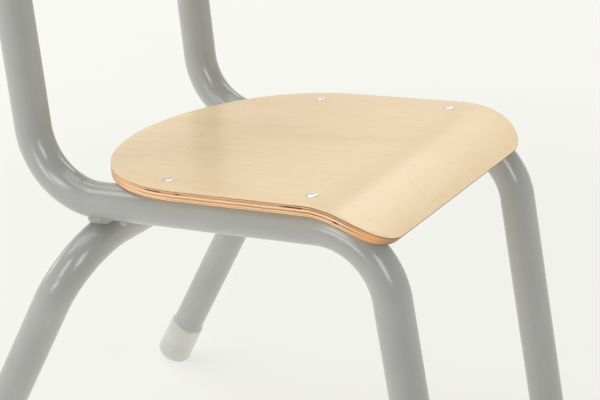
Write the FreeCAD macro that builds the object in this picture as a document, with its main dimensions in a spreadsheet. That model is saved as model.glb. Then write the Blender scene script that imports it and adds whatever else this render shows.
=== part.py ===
import FreeCAD, Part
import Sketcher
import math
import os

# Stacking chair for small children: two bent tube side frames, a bent rear leg frame
# welded under them, and a moulded plywood seat and back held by blind rivets.
# X runs across the chair, -Y is the front, +Z is up, and the origin is on the floor.
# Right and left are the sitter's: right is -X.

# Driving dimensions, in millimetres and degrees
SIZES = (
    ("tube_od", 25, "outside diameter of the frame tube"),
    ("tube_wall", 1.5, "wall of the frame tube"),
    ("bend_radius", 50, "centre line radius of every tube bend"),
    ("rail_spacing", 214, "between the centre lines of the two seat rails"),
    ("front_corner_back", -132, "place of the front rail corner, along Y"),
    ("front_corner_up", 260, "height of the front rail corner"),
    ("rail_run", 254, "level distance between the two corners of a rail"),
    ("rail_slope", 3.9, "fall of the rail towards the back"),
    ("front_leg_lean", 11.2, "lean of the front leg, foot forward"),
    ("upright_lean", 6.8, "lean of the back upright"),
    ("upright_top", 516, "height of the cut end of the upright"),
    ("crossbar_back", 73.8, "place of the rear crossbar, along Y"),
    ("rear_corner_spacing", 276, "between the two corners of the rear leg frame"),
    ("rear_leg_lean", 27, "lean of the rear leg frame, feet back"),
    ("rear_leg_splay", 1.2, "outward splay of each rear leg within its frame"),
    ("weld_gap", 0.2, "fit-up gap between welded tubes"),
    ("bead_reach", 10, "how far the bead under the rail reaches from where the tubes are nearest"),
    ("bead_height", 7, "half height of the bead under the rail"),
    ("brace_od", 19, "outside diameter of the cross tube under the seat"),
    ("brace_wall", 1.2, "wall of the cross tube"),
    ("brace_setback", 30, "cross tube, behind the start of the front bend"),
    ("brace_bead", 2.5, "leg of the weld round the end of the cross tube"),
    ("ply", 7, "thickness of the moulded plywood"),
    ("ply_round", 1, "rounding of the plywood edges"),
    ("seat_width", 255, "width of the seat"),
    ("seat_flat", 195, "flat length of the seat, from the front bend to the rear edge"),
    ("seat_bend", 49.5, "turn of the front bend of the seat"),
    ("seat_rear_bow", 72, "how far the rear edge bows back"),
    ("seat_rear_corner", 95, "radius of the rear corners of the seat"),
    ("seat_front_corner", 34, "radius of the front corners of the seat"),
    ("seat_rivet_start", 2.5, "front rivets, behind the start of the front bend"),
    ("seat_rivet_pitch", 105, "between the front and rear rivets of the seat"),
    ("back_width", 256, "width of the back, across its curve"),
    ("back_height", 130, "height of the back"),
    ("back_radius", 350, "radius of the front face of the back"),
    ("back_corner", 42, "radius of the corners of the back"),
    ("back_above_tube", 11, "how far the back stands above the end of the upright"),
    ("back_rivet_pitch", 64, "between the upper and lower rivets of the back"),
    ("rivet_shank", 4, "diameter of the rivet shank"),
    ("rivet_hole", 4.1, "diameter of the rivet holes"),
    ("rivet_head", 8, "diameter of the rivet head"),
    ("rivet_dome", 1.3, "height of the rivet head"),
    ("rivet_rim", 0.35, "height of the straight rim of the rivet head"),
    ("rivet_bulb", 6, "diameter of the set end inside the tube"),
    ("rivet_bulb_length", 3.5, "length of the set end inside the tube"),
    ("mandrel", 2.2, "diameter of the broken mandrel in the rivet"),
    ("mandrel_head", 3.5, "diameter of the mandrel head"),
    ("mandrel_head_length", 1.4, "length of the mandrel head"),
    ("mandrel_sunk", 0.5, "how deep the broken end lies under the rivet head"),
    ("cap_od", 28.6, "outside diameter of the foot cap at its bottom"),
    ("cap_mouth_od", 27.6, "outside diameter of the foot cap at its mouth"),
    ("cap_length", 38, "length of the foot cap"),
    ("cap_sole", 4, "thickness of the foot cap under the tube"),
    ("cap_round", 5, "rounding at the bottom of the foot cap"),
    ("cap_flat", 0.5, "how far the foot cap is flattened where it stands"),
    ("cap_fit", 0.05, "radial clearance between foot cap and tube"),
    ("cap_rim_round", 0.5, "rounding of the mouth of the foot cap"),
    ("plug_fit", 0.05, "radial clearance between plug and tube"),
    ("plug_depth", 14, "depth of the plug in the tube"),
    ("plug_dome", 5, "height of the plug above the tube"),
    ("plug_rim", 1, "height of the straight rim of the plug"),
)

SIDES = (("right", -1), ("left", 1))
UP = FreeCAD.Vector(0, 0, 1)
SAME_PLACE = 0.001

doc = FreeCAD.newDocument("stacking_chair")
sheet = doc.addObject("Spreadsheet::Sheet", "Sizes")
for row, (alias, number, meaning) in enumerate(SIZES, start=1):
    sheet.set("A%d" % row, meaning)
    sheet.set("B%d" % row, str(number))
    sheet.setAlias("B%d" % row, alias)
doc.recompute()


def value(expression):
    """The number that an expression of the sheet gives now."""
    return float(sheet.evalExpression(expression))


# Places worked out from the driving dimensions, as expressions

TUBE_R = "(Sizes.tube_od / 2)"
BORE_R = "(Sizes.tube_od / 2 - Sizes.tube_wall)"
HALF_SPACING = "(Sizes.rail_spacing / 2)"


def foot_height(sine, cosine):
    """How high the end of a capped tube is above the floor, for a leg that leans this much."""
    lowest = "((Sizes.cap_od / 2 - Sizes.cap_round) * %s - Sizes.cap_round * %s)" % (sine, cosine)
    return "(Sizes.cap_round + %s - Sizes.cap_flat + Sizes.cap_sole * %s)" % (lowest, cosine)


FRONT_FOOT_UP = foot_height("sin(Sizes.front_leg_lean)", "cos(Sizes.front_leg_lean)")
FRONT_FOOT_BACK = ("(Sizes.front_corner_back - (Sizes.front_corner_up - %s)"
                   " * tan(Sizes.front_leg_lean))" % FRONT_FOOT_UP)
REAR_CORNER_BACK = "(Sizes.front_corner_back + Sizes.rail_run)"
REAR_CORNER_UP = "(Sizes.front_corner_up - Sizes.rail_run * tan(Sizes.rail_slope))"
UPRIGHT_END_BACK = ("(%s + (Sizes.upright_top - %s) * tan(Sizes.upright_lean))"
                    % (REAR_CORNER_BACK, REAR_CORNER_UP))

# The front bend starts here on the rail, and the seat bends with it
FRONT_TANGENT = ("(Sizes.bend_radius"
                 " * tan((90 - Sizes.front_leg_lean + Sizes.rail_slope) / 2))")
BEND_START_BACK = "(Sizes.front_corner_back + %s * cos(Sizes.rail_slope))" % FRONT_TANGENT
BEND_START_UP = "(Sizes.front_corner_up - %s * sin(Sizes.rail_slope))" % FRONT_TANGENT
SEAT_BACK = "(%s + %s * sin(Sizes.rail_slope))" % (BEND_START_BACK, TUBE_R)
SEAT_UP = "(%s + %s * cos(Sizes.rail_slope))" % (BEND_START_UP, TUBE_R)
SEAT_BEND_AXIS = "-(%s + Sizes.bend_radius)" % TUBE_R

# The rail lies on the bend of the rear leg frame. Seen along the rail, the bend is an
# ellipse flattened by this share, and the rail stands this far in from its start.
FLATTENED = "cos(Sizes.rear_leg_lean + Sizes.rail_slope)"
REAR_TANGENT = "(Sizes.bend_radius * tan((90 - Sizes.rear_leg_splay) / 2))"
REAR_BEND_START = "(Sizes.rear_corner_spacing / 2 - %s)" % REAR_TANGENT
ALONG_BEND = "max(%s - %s; 0)" % (HALF_SPACING, REAR_BEND_START)
CENTRES_APART = "(Sizes.tube_od + Sizes.weld_gap)"
CONTACT_SINE_FIRST = ("(%s / (Sizes.bend_radius + %s * %s))"
                      % (ALONG_BEND, CENTRES_APART, FLATTENED))
CONTACT_STRETCH = "sqrt(1 - (1 - %s ^ 2) * %s ^ 2)" % (FLATTENED, CONTACT_SINE_FIRST)
CONTACT_SINE = ("(%s / (Sizes.bend_radius + %s * %s / %s))"
                % (ALONG_BEND, CENTRES_APART, FLATTENED, CONTACT_STRETCH))
CONTACT_COSINE = "sqrt(1 - %s ^ 2)" % CONTACT_SINE
RAIL_ABOVE_CROSSBAR = ("((%s * %s / %s - %s * Sizes.bend_radius * (1 - %s))"
                       " / cos(Sizes.rail_slope))"
                       % (CENTRES_APART, CONTACT_COSINE, CONTACT_STRETCH, FLATTENED,
                          CONTACT_COSINE))
RAIL_UP_AT_CROSSBAR = ("(Sizes.front_corner_up - (Sizes.crossbar_back"
                       " - Sizes.front_corner_back) * tan(Sizes.rail_slope))")
CROSSBAR_UP = "(%s - %s)" % (RAIL_UP_AT_CROSSBAR, RAIL_ABOVE_CROSSBAR)

REAR_COSINE = "(cos(Sizes.rear_leg_lean) * cos(Sizes.rear_leg_splay))"
REAR_SINE = "sqrt(1 - %s ^ 2)" % REAR_COSINE
REAR_FOOT_UP = foot_height(REAR_SINE, REAR_COSINE)
REAR_LEG_DROP = "((%s - %s) / cos(Sizes.rear_leg_lean))" % (CROSSBAR_UP, REAR_FOOT_UP)
REAR_FOOT_OUT = ("(Sizes.rear_corner_spacing / 2 + %s * tan(Sizes.rear_leg_splay))"
                 % REAR_LEG_DROP)
REAR_FOOT_BACK = "(Sizes.crossbar_back + %s * sin(Sizes.rear_leg_lean))" % REAR_LEG_DROP

# The back is held in front of the uprights, its curve tangent to both
BACK_MIDDLE_UP = ("(Sizes.upright_top + (Sizes.back_above_tube - Sizes.back_height / 2)"
                  " * cos(Sizes.upright_lean))")
BACK_MIDDLE_BACK = ("(%s + (%s - %s) * tan(Sizes.upright_lean))"
                    % (REAR_CORNER_BACK, BACK_MIDDLE_UP, REAR_CORNER_UP))
BACK_REAR_RADIUS = "(Sizes.back_radius + Sizes.ply)"
BACK_CENTRE_AHEAD = ("sqrt((%s + %s) ^ 2 - %s ^ 2)"
                     % (BACK_REAR_RADIUS, TUBE_R, HALF_SPACING))
BACK_RIVET_TURN = "asin(%s / (%s + %s))" % (HALF_SPACING, BACK_REAR_RADIUS, TUBE_R)

# A flat rivet head touches the hollow face of the back with its rim, this far off its middle
HEAD_STAND_OFF = ("(Sizes.back_radius"
                  " - sqrt(Sizes.back_radius ^ 2 - (Sizes.rivet_head / 2) ^ 2))")


def depth_in_tube(radius):
    """How deep under its head a rivet is clear of the tube wall, this far from its axis."""
    wall = "(Sizes.tube_wall + %s - sqrt(%s ^ 2 - (%s) ^ 2))" % (BORE_R, BORE_R, radius)
    return "(Sizes.ply + %s + %s)" % (HEAD_STAND_OFF, wall)


SHANK_DEPTH = depth_in_tube("Sizes.rivet_shank / 2")
BULB_DEPTH = depth_in_tube("Sizes.rivet_bulb / 2")
BULB_END = "-(%s + Sizes.rivet_bulb_length)" % BULB_DEPTH


def bind(target, **expressions):
    """Ties properties of an object to expressions of the sheet."""
    for name, expression in expressions.items():
        target.setExpression(name.replace("__", "."), expression)


def place(target, axis=(1, 0, 0), turn=None, x=None, y=None, z=None):
    """Ties the place of an object to the sheet, and its turn about one fixed axis."""
    angle = value(turn) if turn else 0
    rotation = FreeCAD.Rotation(FreeCAD.Vector(*axis), angle)
    target.Placement = FreeCAD.Placement(FreeCAD.Vector(), rotation)
    if turn:
        target.setExpression("Placement.Rotation.Angle", turn)
    for letter, expression in (("x", x), ("y", y), ("z", z)):
        if expression:
            target.setExpression("Placement.Base." + letter, expression)


def new_body(name):
    piece = doc.addObject("PartDesign::Body", name)
    piece.Label = name
    return piece


def new_sketch(piece, role, name):
    """A sketch on one of the origin planes of its own body."""
    sketch = piece.newObject("Sketcher::SketchObject", piece.Name + "_" + name)
    plane = [feature for feature in piece.Origin.OriginFeatures if feature.Role == role][0]
    sketch.AttachmentSupport = [(plane, "")]
    sketch.MapMode = "FlatFace"
    return sketch


def dimension(sketch, kind, name, expression, *where):
    """A driving dimension of a sketch, tied to the sheet."""
    number = value(expression)
    if kind == "Angle":
        number = math.radians(number)
    index = sketch.addConstraint(Sketcher.Constraint(kind, *where, number))
    sketch.renameConstraint(index, name)
    sketch.setExpression("Constraints." + name, expression)


def relate(sketch, kind, *where):
    sketch.addConstraint(Sketcher.Constraint(kind, *where))


def locate(sketch, name, point, x, y):
    """Holds a point, given as geometry and vertex, at two coordinates from the sheet."""
    for axis, kind, expression in (("x", "DistanceX", x), ("y", "DistanceY", y)):
        if expression == "0":
            relate(sketch, "PointOnObject", *point, -2 if axis == "x" else -1)
        else:
            dimension(sketch, kind, name + "_" + axis, expression, -1, 1, *point)


def flat_vector(x, y):
    """A point of a sketch."""
    return FreeCAD.Vector(x, y, 0)


def first_vertex(arc, start):
    """The number of the vertex, 1 or 2, with which an arc begins at this point."""
    return 1 if arc.StartPoint.distanceToPoint(start) < SAME_PLACE else 2


def short_arc(centre, radius, one, other):
    """The arc under half a circle between two points of a circle."""
    first = math.atan2(one.y - centre.y, one.x - centre.x)
    last = math.atan2(other.y - centre.y, other.x - centre.x)
    if (last - first) % (2 * math.pi) > math.pi:
        first, last = last, first
    return Part.ArcOfCircle(Part.Circle(centre, UP, radius), first, last)


def draw_bent_line(sketch, points, bend):
    """Straight runs through points of the sheet, each corner turned with one radius."""
    spots = [flat_vector(value(x), value(y)) for x, y in points]
    radius = value(bend)
    starts = [spots[0]]
    ends = []
    arcs = []
    for before, corner, after in zip(spots, spots[1:], spots[2:]):
        towards = (before - corner).normalize()
        away = (after - corner).normalize()
        half = towards.getAngle(away) / 2
        centre = corner + (towards + away).normalize() * (radius / math.sin(half))
        ends.append(corner + towards * (radius / math.tan(half)))
        starts.append(corner + away * (radius / math.tan(half)))
        arcs.append(short_arc(centre, radius, ends[-1], starts[-1]))
    ends.append(spots[-1])
    lines = [sketch.addGeometry(Part.LineSegment(start, end)) for start, end in zip(starts, ends)]
    for number, arc in enumerate(arcs):
        turn = sketch.addGeometry(arc)
        first = first_vertex(arc, ends[number])
        relate(sketch, "Tangent", lines[number], 2, turn, first)
        relate(sketch, "Tangent", lines[number + 1], 1, turn, 3 - first)
        dimension(sketch, "Radius", "bend_%d" % number, bend, turn)
        corner = sketch.addGeometry(Part.Point(spots[number + 1]), True)
        relate(sketch, "PointOnObject", corner, 1, lines[number])
        relate(sketch, "PointOnObject", corner, 1, lines[number + 1])
        locate(sketch, "corner_%d" % number, (corner, 1), *points[number + 1])
    locate(sketch, "start", (lines[0], 1), *points[0])
    locate(sketch, "finish", (lines[-1], 2), *points[-1])


def draw_ring(sketch, outer, inner):
    """The cross section of a tube, round the origin of a sketch."""
    for name, radius in (("outer", outer), ("inner", inner)):
        circle = sketch.addGeometry(Part.Circle(FreeCAD.Vector(), UP, value(radius)))
        relate(sketch, "Coincident", circle, 3, -1, 1)
        dimension(sketch, "Radius", name, radius, circle)


def draw_outline(sketch, points, domes=()):
    """A closed outline through points of the sheet. A dome, given as the number of its
    first corner and a radius, is an arc centred on the vertical axis; the rest are straight."""
    spots = [flat_vector(value(x), value(y)) for x, y in points]
    domes = dict(domes)
    edges = []
    firsts = []
    for number, (start, end) in enumerate(zip(spots, spots[1:] + spots[:1])):
        if number not in domes:
            edges.append(sketch.addGeometry(Part.LineSegment(start, end)))
            firsts.append(1)
            continue
        radius = value(domes[number])
        centre = flat_vector(0, start.y - math.sqrt(radius ** 2 - start.x ** 2))
        arc = short_arc(centre, radius, start, end)
        edges.append(sketch.addGeometry(arc))
        firsts.append(first_vertex(arc, start))
    for number, edge in enumerate(edges):
        last = 3 - firsts[number - 1]
        relate(sketch, "Coincident", edges[number - 1], last, edge, firsts[number])
        locate(sketch, "corner_%d" % number, (edge, firsts[number]), *points[number])
        if number in domes:
            dimension(sketch, "Radius", "dome_%d" % number, domes[number], edge)


def sweep_tube(piece, role, points):
    """A hollow tube along a bent centre line."""
    path = new_sketch(piece, role, "centre_line")
    draw_bent_line(path, points, "Sizes.bend_radius")
    section = piece.newObject("Sketcher::SketchObject", piece.Name + "_section")
    section.AttachmentSupport = [(path, "Edge1")]
    section.MapMode = "NormalToEdge"
    draw_ring(section, TUBE_R, BORE_R)
    doc.recompute()
    tube = piece.newObject("PartDesign::AdditivePipe", piece.Name + "_tube")
    tube.Profile = section
    tube.Spine = (path, ["Edge%d" % (number + 1) for number in range(len(path.Shape.Edges))])


def turn_about_x(expression):
    return FreeCAD.Rotation(FreeCAD.Vector(1, 0, 0), value(expression))


def seat_frame():
    """The frame of the seat: on the rails where the front bend starts, +Y towards the back."""
    base = FreeCAD.Vector(0, value(SEAT_BACK), value(SEAT_UP))
    return FreeCAD.Placement(base, turn_about_x("-Sizes.rail_slope"))


def seat_rivet_frames():
    """Where the seat rivets lie: the origin under the head, and +Z out of it."""
    frames = {}
    for side, sign in SIDES:
        for row, along in (("front", "Sizes.seat_rivet_start"),
                           ("rear", "(Sizes.seat_rivet_start + Sizes.seat_rivet_pitch)")):
            spot = FreeCAD.Vector(sign * value(HALF_SPACING), value(along), value("Sizes.ply"))
            on_seat = FreeCAD.Placement(spot, FreeCAD.Rotation())
            frames["seat_rivet_%s_%s" % (row, side)] = seat_frame() * on_seat
    return frames


def back_frame():
    """The frame of the back: half way between the uprights, +Z along them."""
    base = FreeCAD.Vector(0, value(BACK_MIDDLE_BACK), value(BACK_MIDDLE_UP))
    return FreeCAD.Placement(base, turn_about_x("-Sizes.upright_lean"))


def back_rivet_frames():
    """Where the back rivets lie: the origin under the head, and +Z out of it."""
    frames = {}
    centre = FreeCAD.Vector(0, -value(BACK_CENTRE_AHEAD), 0)
    for side, sign in SIDES:
        turn = FreeCAD.Rotation(UP, -sign * value(BACK_RIVET_TURN))
        outward = turn * FreeCAD.Rotation(FreeCAD.Vector(1, 0, 0), 90)
        for row, sense in (("upper", 1), ("lower", -1)):
            rise = FreeCAD.Vector(0, 0, sense * value("Sizes.back_rivet_pitch / 2"))
            reach = FreeCAD.Vector(0, value("Sizes.back_radius - " + HEAD_STAND_OFF), 0)
            spot = centre + turn.multVec(reach) + rise
            frames["back_rivet_%s_%s" % (row, side)] = back_frame() * FreeCAD.Placement(spot, outward)
    return frames


RIVETS = {**seat_rivet_frames(), **back_rivet_frames()}


def drill_rivet_holes(piece, names, depth):
    """Round holes for the named rivets, from above their heads down to a depth."""
    bottom = FreeCAD.Placement(FreeCAD.Vector(0, 0, -value(depth)), FreeCAD.Rotation())
    for name in names:
        hole_name = piece.Name + name.replace("rivet", "hole")
        hole = piece.newObject("PartDesign::SubtractiveCylinder", hole_name)
        bind(hole, Radius="Sizes.rivet_hole / 2", Height=depth + " + Sizes.rivet_dome")
        hole.Placement = piece.Placement.inverse() * RIVETS[name] * bottom


def make_side_tube(side, sign):
    """Front leg, seat rail and back upright, bent from one tube."""
    piece = new_body("side_tube_" + side)
    place(piece, x="%d * %s" % (sign, HALF_SPACING))
    sweep_tube(piece, "YZ_Plane", (
        (FRONT_FOOT_BACK, FRONT_FOOT_UP),
        ("Sizes.front_corner_back", "Sizes.front_corner_up"),
        (REAR_CORNER_BACK, REAR_CORNER_UP),
        (UPRIGHT_END_BACK, "Sizes.upright_top"),
    ))
    doc.recompute()
    own_rivets = [name for name in RIVETS if name.endswith(side)]
    drill_rivet_holes(piece, own_rivets, "(Sizes.ply + %s)" % TUBE_R)
    return piece


def make_rear_leg_frame():
    """Both rear legs and the crossbar under the rails, bent from one tube."""
    piece = new_body("rear_leg_frame")
    place(piece, turn="Sizes.rear_leg_lean", y="Sizes.crossbar_back", z=CROSSBAR_UP)
    drop = "-" + REAR_LEG_DROP
    half = "Sizes.rear_corner_spacing / 2"
    sweep_tube(piece, "XZ_Plane", (
        ("-" + REAR_FOOT_OUT, drop),
        ("-" + half, "0"),
        (half, "0"),
        (REAR_FOOT_OUT, drop),
    ))
    return piece


def make_cross_tube():
    """Straight tube between the rails under the seat, its ends coped to the rails."""
    piece = new_body("front_cross_tube")
    along = "(%s + Sizes.brace_setback)" % FRONT_TANGENT
    place(piece, turn="-Sizes.rail_slope",
          y="Sizes.front_corner_back + %s * cos(Sizes.rail_slope)" % along,
          z="Sizes.front_corner_up - %s * sin(Sizes.rail_slope)" % along)
    section = new_sketch(piece, "YZ_Plane", "section")
    draw_ring(section, "Sizes.brace_od / 2", "Sizes.brace_od / 2 - Sizes.brace_wall")
    bar = piece.newObject("PartDesign::Pad", "front_cross_tube_bar")
    bar.Profile = section
    bar.Midplane = True
    bind(bar, Length="Sizes.rail_spacing")
    for side, sign in SIDES:
        cope = piece.newObject("PartDesign::SubtractiveCylinder", "cope_" + side)
        bind(cope, Radius=TUBE_R + " + Sizes.weld_gap", Height="Sizes.tube_od * 2")
        place(cope, turn="-90", x="%d * %s" % (sign, HALF_SPACING), y="-Sizes.tube_od")
    return piece


def draw_seat_outline(sketch):
    """The flat of the seat: straight sides, and a bowed rear edge that runs into round corners."""
    half_width = value("Sizes.seat_width / 2")
    length = value("Sizes.seat_flat")
    corner = value("Sizes.seat_rear_corner")
    # The rear edge is an arc through its middle and the two corners before they are rounded
    bow = ("((Sizes.seat_width / 2) ^ 2 + Sizes.seat_rear_bow ^ 2)"
           " / (2 * Sizes.seat_rear_bow)")
    bow_radius = value(bow)
    bow_centre = length - bow_radius
    corner_up = bow_centre + math.sqrt((bow_radius - corner) ** 2 - (half_width - corner) ** 2)
    meeting = math.atan2(half_width - corner, corner_up - bow_centre)
    left_circle = Part.Circle(flat_vector(half_width - corner, corner_up), UP, corner)
    right_circle = Part.Circle(flat_vector(corner - half_width, corner_up), UP, corner)
    bow_circle = Part.Circle(flat_vector(0, bow_centre), UP, bow_radius)
    front, left, right, left_turn, right_turn, rear = sketch.addGeometry([
        Part.LineSegment(flat_vector(-half_width, 0), flat_vector(half_width, 0)),
        Part.LineSegment(flat_vector(half_width, 0), flat_vector(half_width, corner_up)),
        Part.LineSegment(flat_vector(-half_width, corner_up), flat_vector(-half_width, 0)),
        Part.ArcOfCircle(left_circle, 0, math.pi / 2 - meeting),
        Part.ArcOfCircle(right_circle, math.pi / 2 + meeting, math.pi),
        Part.ArcOfCircle(bow_circle, math.pi / 2 - meeting, math.pi / 2 + meeting),
    ])
    relate(sketch, "Coincident", front, 2, left, 1)
    relate(sketch, "Coincident", right, 2, front, 1)
    relate(sketch, "Vertical", left)
    relate(sketch, "Vertical", right)
    relate(sketch, "PointOnObject", front, 1, -1)
    relate(sketch, "Symmetric", front, 1, front, 2, -1, 1)
    relate(sketch, "Tangent", left, 2, left_turn, 1)
    relate(sketch, "Tangent", left_turn, 2, rear, 1)
    relate(sketch, "Tangent", rear, 2, right_turn, 1)
    relate(sketch, "Tangent", right_turn, 2, right, 1)
    relate(sketch, "Equal", left_turn, right_turn)
    dimension(sketch, "DistanceX", "width", "Sizes.seat_width", front, 1, front, 2)
    dimension(sketch, "Radius", "corner", "Sizes.seat_rear_corner", left_turn)
    dimension(sketch, "Radius", "bowed", bow, rear)
    locate(sketch, "bow_centre", (rear, 3), "0", "Sizes.seat_flat - " + bow)


def add_front_bend(piece):
    """Carries the flat of the seat on round the axis of the bend in the tubes."""
    half_width = value("Sizes.seat_width / 2")
    below = value(SEAT_BEND_AXIS)
    section = new_sketch(piece, "XZ_Plane", "bend_section")
    draw_outline(section, (
        ("-Sizes.seat_width / 2", "0"),
        ("Sizes.seat_width / 2", "0"),
        ("Sizes.seat_width / 2", "Sizes.ply"),
        ("-Sizes.seat_width / 2", "Sizes.ply"),
    ))
    axis = section.addGeometry(
        Part.LineSegment(flat_vector(-half_width, below), flat_vector(half_width, below)), True)
    relate(section, "Horizontal", axis)
    locate(section, "axis_start", (axis, 1), "-Sizes.seat_width / 2", SEAT_BEND_AXIS)
    dimension(section, "Distance", "axis_length", "Sizes.seat_width", axis)
    doc.recompute()
    bend = piece.newObject("PartDesign::Revolution", "seat_front_bend")
    bend.Profile = section
    bend.ReferenceAxis = (section, ["Axis0"])
    bind(bend, Angle="Sizes.seat_bend")


def trim_front_corners(piece):
    """Rounds the front corners, cutting square to the surface at the front edge."""
    trim = new_sketch(piece, "XY_Plane", "front_corners")
    tilt = FreeCAD.Rotation(FreeCAD.Vector(1, 0, 0), value("Sizes.seat_bend"))
    trim.AttachmentOffset = FreeCAD.Placement(FreeCAD.Vector(0, 0, value(SEAT_BEND_AXIS)), tilt)
    trim.setExpression("AttachmentOffset.Base.z", SEAT_BEND_AXIS)
    trim.setExpression("AttachmentOffset.Rotation.Angle", "Sizes.seat_bend")
    for side, sign in SIDES:
        draw_corner_offcut(trim, side, sign)
    corners = piece.newObject("PartDesign::Pocket", "seat_front_trim")
    corners.Profile = trim
    corners.Reversed = True
    bind(corners, Length="%s + Sizes.bend_radius + 2 * Sizes.ply" % TUBE_R)
    doc.recompute()
    return corners


def make_seat():
    """Moulded plywood seat: a flat with a bowed rear edge, and a front bend round the tubes."""
    piece = new_body("seat_panel")
    place(piece, turn="-Sizes.rail_slope", y=SEAT_BACK, z=SEAT_UP)
    outline = new_sketch(piece, "XY_Plane", "outline")
    draw_seat_outline(outline)
    flat = piece.newObject("PartDesign::Pad", "seat_flat_part")
    flat.Profile = outline
    bind(flat, Length="Sizes.ply")
    add_front_bend(piece)
    return piece, trim_front_corners(piece)


def draw_corner_offcut(sketch, side, sign):
    """What is cut away outside one rounded front corner of the seat."""
    inner = "%d * (Sizes.seat_width / 2 - Sizes.seat_front_corner)" % sign
    outer = "%d * Sizes.seat_width / 2" % sign
    beyond = "%d * (Sizes.seat_width / 2 + Sizes.ply)" % sign
    radius = "Sizes.seat_front_corner"
    points = (
        (inner, "0"),
        (inner, "-Sizes.ply"),
        (beyond, "-Sizes.ply"),
        (beyond, radius),
        (outer, radius),
    )
    spots = [flat_vector(value(x), value(y)) for x, y in points]
    lines = [sketch.addGeometry(Part.LineSegment(*pair)) for pair in zip(spots, spots[1:])]
    arc = short_arc(flat_vector(value(inner), value(radius)), value(radius), spots[-1], spots[0])
    round_off = sketch.addGeometry(arc)
    for number, line in enumerate(lines):
        locate(sketch, "%s_%d" % (side, number), (line, 1), *points[number])
        if number:
            relate(sketch, "Coincident", lines[number - 1], 2, line, 1)
    locate(sketch, side + "_last", (lines[-1], 2), *points[-1])
    at_front = first_vertex(arc, spots[0])
    relate(sketch, "Coincident", round_off, at_front, lines[0], 1)
    relate(sketch, "Coincident", round_off, 3 - at_front, lines[-1], 2)
    dimension(sketch, "Radius", side + "_corner", radius, round_off)


def round_rims(piece, base, skins, name):
    """Rounds every edge between the two skins of a board and its narrow sides."""
    rims = []
    for number, edge in enumerate(base.Shape.Edges, start=1):
        owners = [face for face in skins if any(edge.isSame(other) for other in face.Edges)]
        if len(owners) == 1:
            rims.append("Edge%d" % number)
    rounding = piece.newObject("PartDesign::Fillet", name)
    rounding.Base = (base, rims)
    bind(rounding, Radius="Sizes.ply_round")


def broad_faces(shape, count):
    """The largest faces of a board, which are its skins."""
    return sorted(shape.Faces, key=lambda face: -face.Area)[:count]


def make_back():
    """Moulded plywood back: one curve across the chair, with rounded corners."""
    piece = new_body("backrest_panel")
    place(piece, turn="-Sizes.upright_lean", y=BACK_MIDDLE_BACK, z=BACK_MIDDLE_UP)
    outline = new_sketch(piece, "XY_Plane", "outline")
    inner = value("Sizes.back_radius")
    outer = value(BACK_REAR_RADIUS)
    ahead = value(BACK_CENTRE_AHEAD)
    reach = math.asin(value("Sizes.back_width / 2") / outer)
    centre = flat_vector(0, -ahead)
    arcs = []
    for radius in (inner, outer):
        circle = Part.Circle(centre, UP, radius)
        arc = Part.ArcOfCircle(circle, math.pi / 2 - reach, math.pi / 2 + reach)
        arcs.append(outline.addGeometry(arc))
    for name, sign, vertex in (("left_end", 1, 1), ("right_end", -1, 2)):
        way = FreeCAD.Vector(sign * math.sin(reach), math.cos(reach), 0)
        line = outline.addGeometry(Part.LineSegment(centre + way * inner, centre + way * outer))
        relate(outline, "Coincident", line, 1, arcs[0], vertex)
        relate(outline, "Coincident", line, 2, arcs[1], vertex)
        relate(outline, "PointOnObject", arcs[0], 3, line)
        half_width = "%d * Sizes.back_width / 2" % sign
        dimension(outline, "DistanceX", name, half_width, -1, 1, line, 2)
    relate(outline, "Coincident", arcs[0], 3, arcs[1], 3)
    locate(outline, "centre", (arcs[0], 3), "0", "-" + BACK_CENTRE_AHEAD)
    dimension(outline, "Radius", "front_face", "Sizes.back_radius", arcs[0])
    dimension(outline, "Radius", "rear_face", BACK_REAR_RADIUS, arcs[1])
    board = piece.newObject("PartDesign::Pad", "back_board")
    board.Profile = outline
    board.Midplane = True
    bind(board, Length="Sizes.back_height")
    doc.recompute()
    corner_edges = ["Edge%d" % number for number, edge in enumerate(board.Shape.Edges, start=1)
                    if edge.Curve.TypeId == "Part::GeomLine"
                    and abs(edge.Length - value("Sizes.ply")) < SAME_PLACE]
    corners = piece.newObject("PartDesign::Fillet", "back_corners")
    corners.Base = (board, corner_edges)
    bind(corners, Radius="Sizes.back_corner")
    doc.recompute()
    return piece, corners


def revolve(piece, points, domes=()):
    """A turned solid about the local Z axis, from its half section."""
    section = new_sketch(piece, "XZ_Plane", "half_section")
    draw_outline(section, points, domes)
    turned = piece.newObject("PartDesign::Revolution", piece.Name + "_turned")
    turned.Profile = section
    turned.ReferenceAxis = (section, ["V_Axis"])
    turned.Angle = 360
    return turned


def round_circles(piece, base, radius, expression, name):
    """Rounds the circular edges of one radius on a turned piece."""
    chosen = ["Edge%d" % number for number, edge in enumerate(base.Shape.Edges, start=1)
              if edge.Curve.TypeId == "Part::GeomCircle"
              and abs(edge.Curve.Radius - value(radius)) < SAME_PLACE]
    rounding = piece.newObject("PartDesign::Fillet", piece.Name + "_" + name)
    rounding.Base = (base, chosen)
    bind(rounding, Radius=expression)
    return rounding


def dome_radius(half_width, rise):
    """Radius of the sphere whose cap has this half width and rise."""
    return "((%s) ^ 2 + (%s) ^ 2) / (2 * (%s))" % (half_width, rise, rise)


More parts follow.
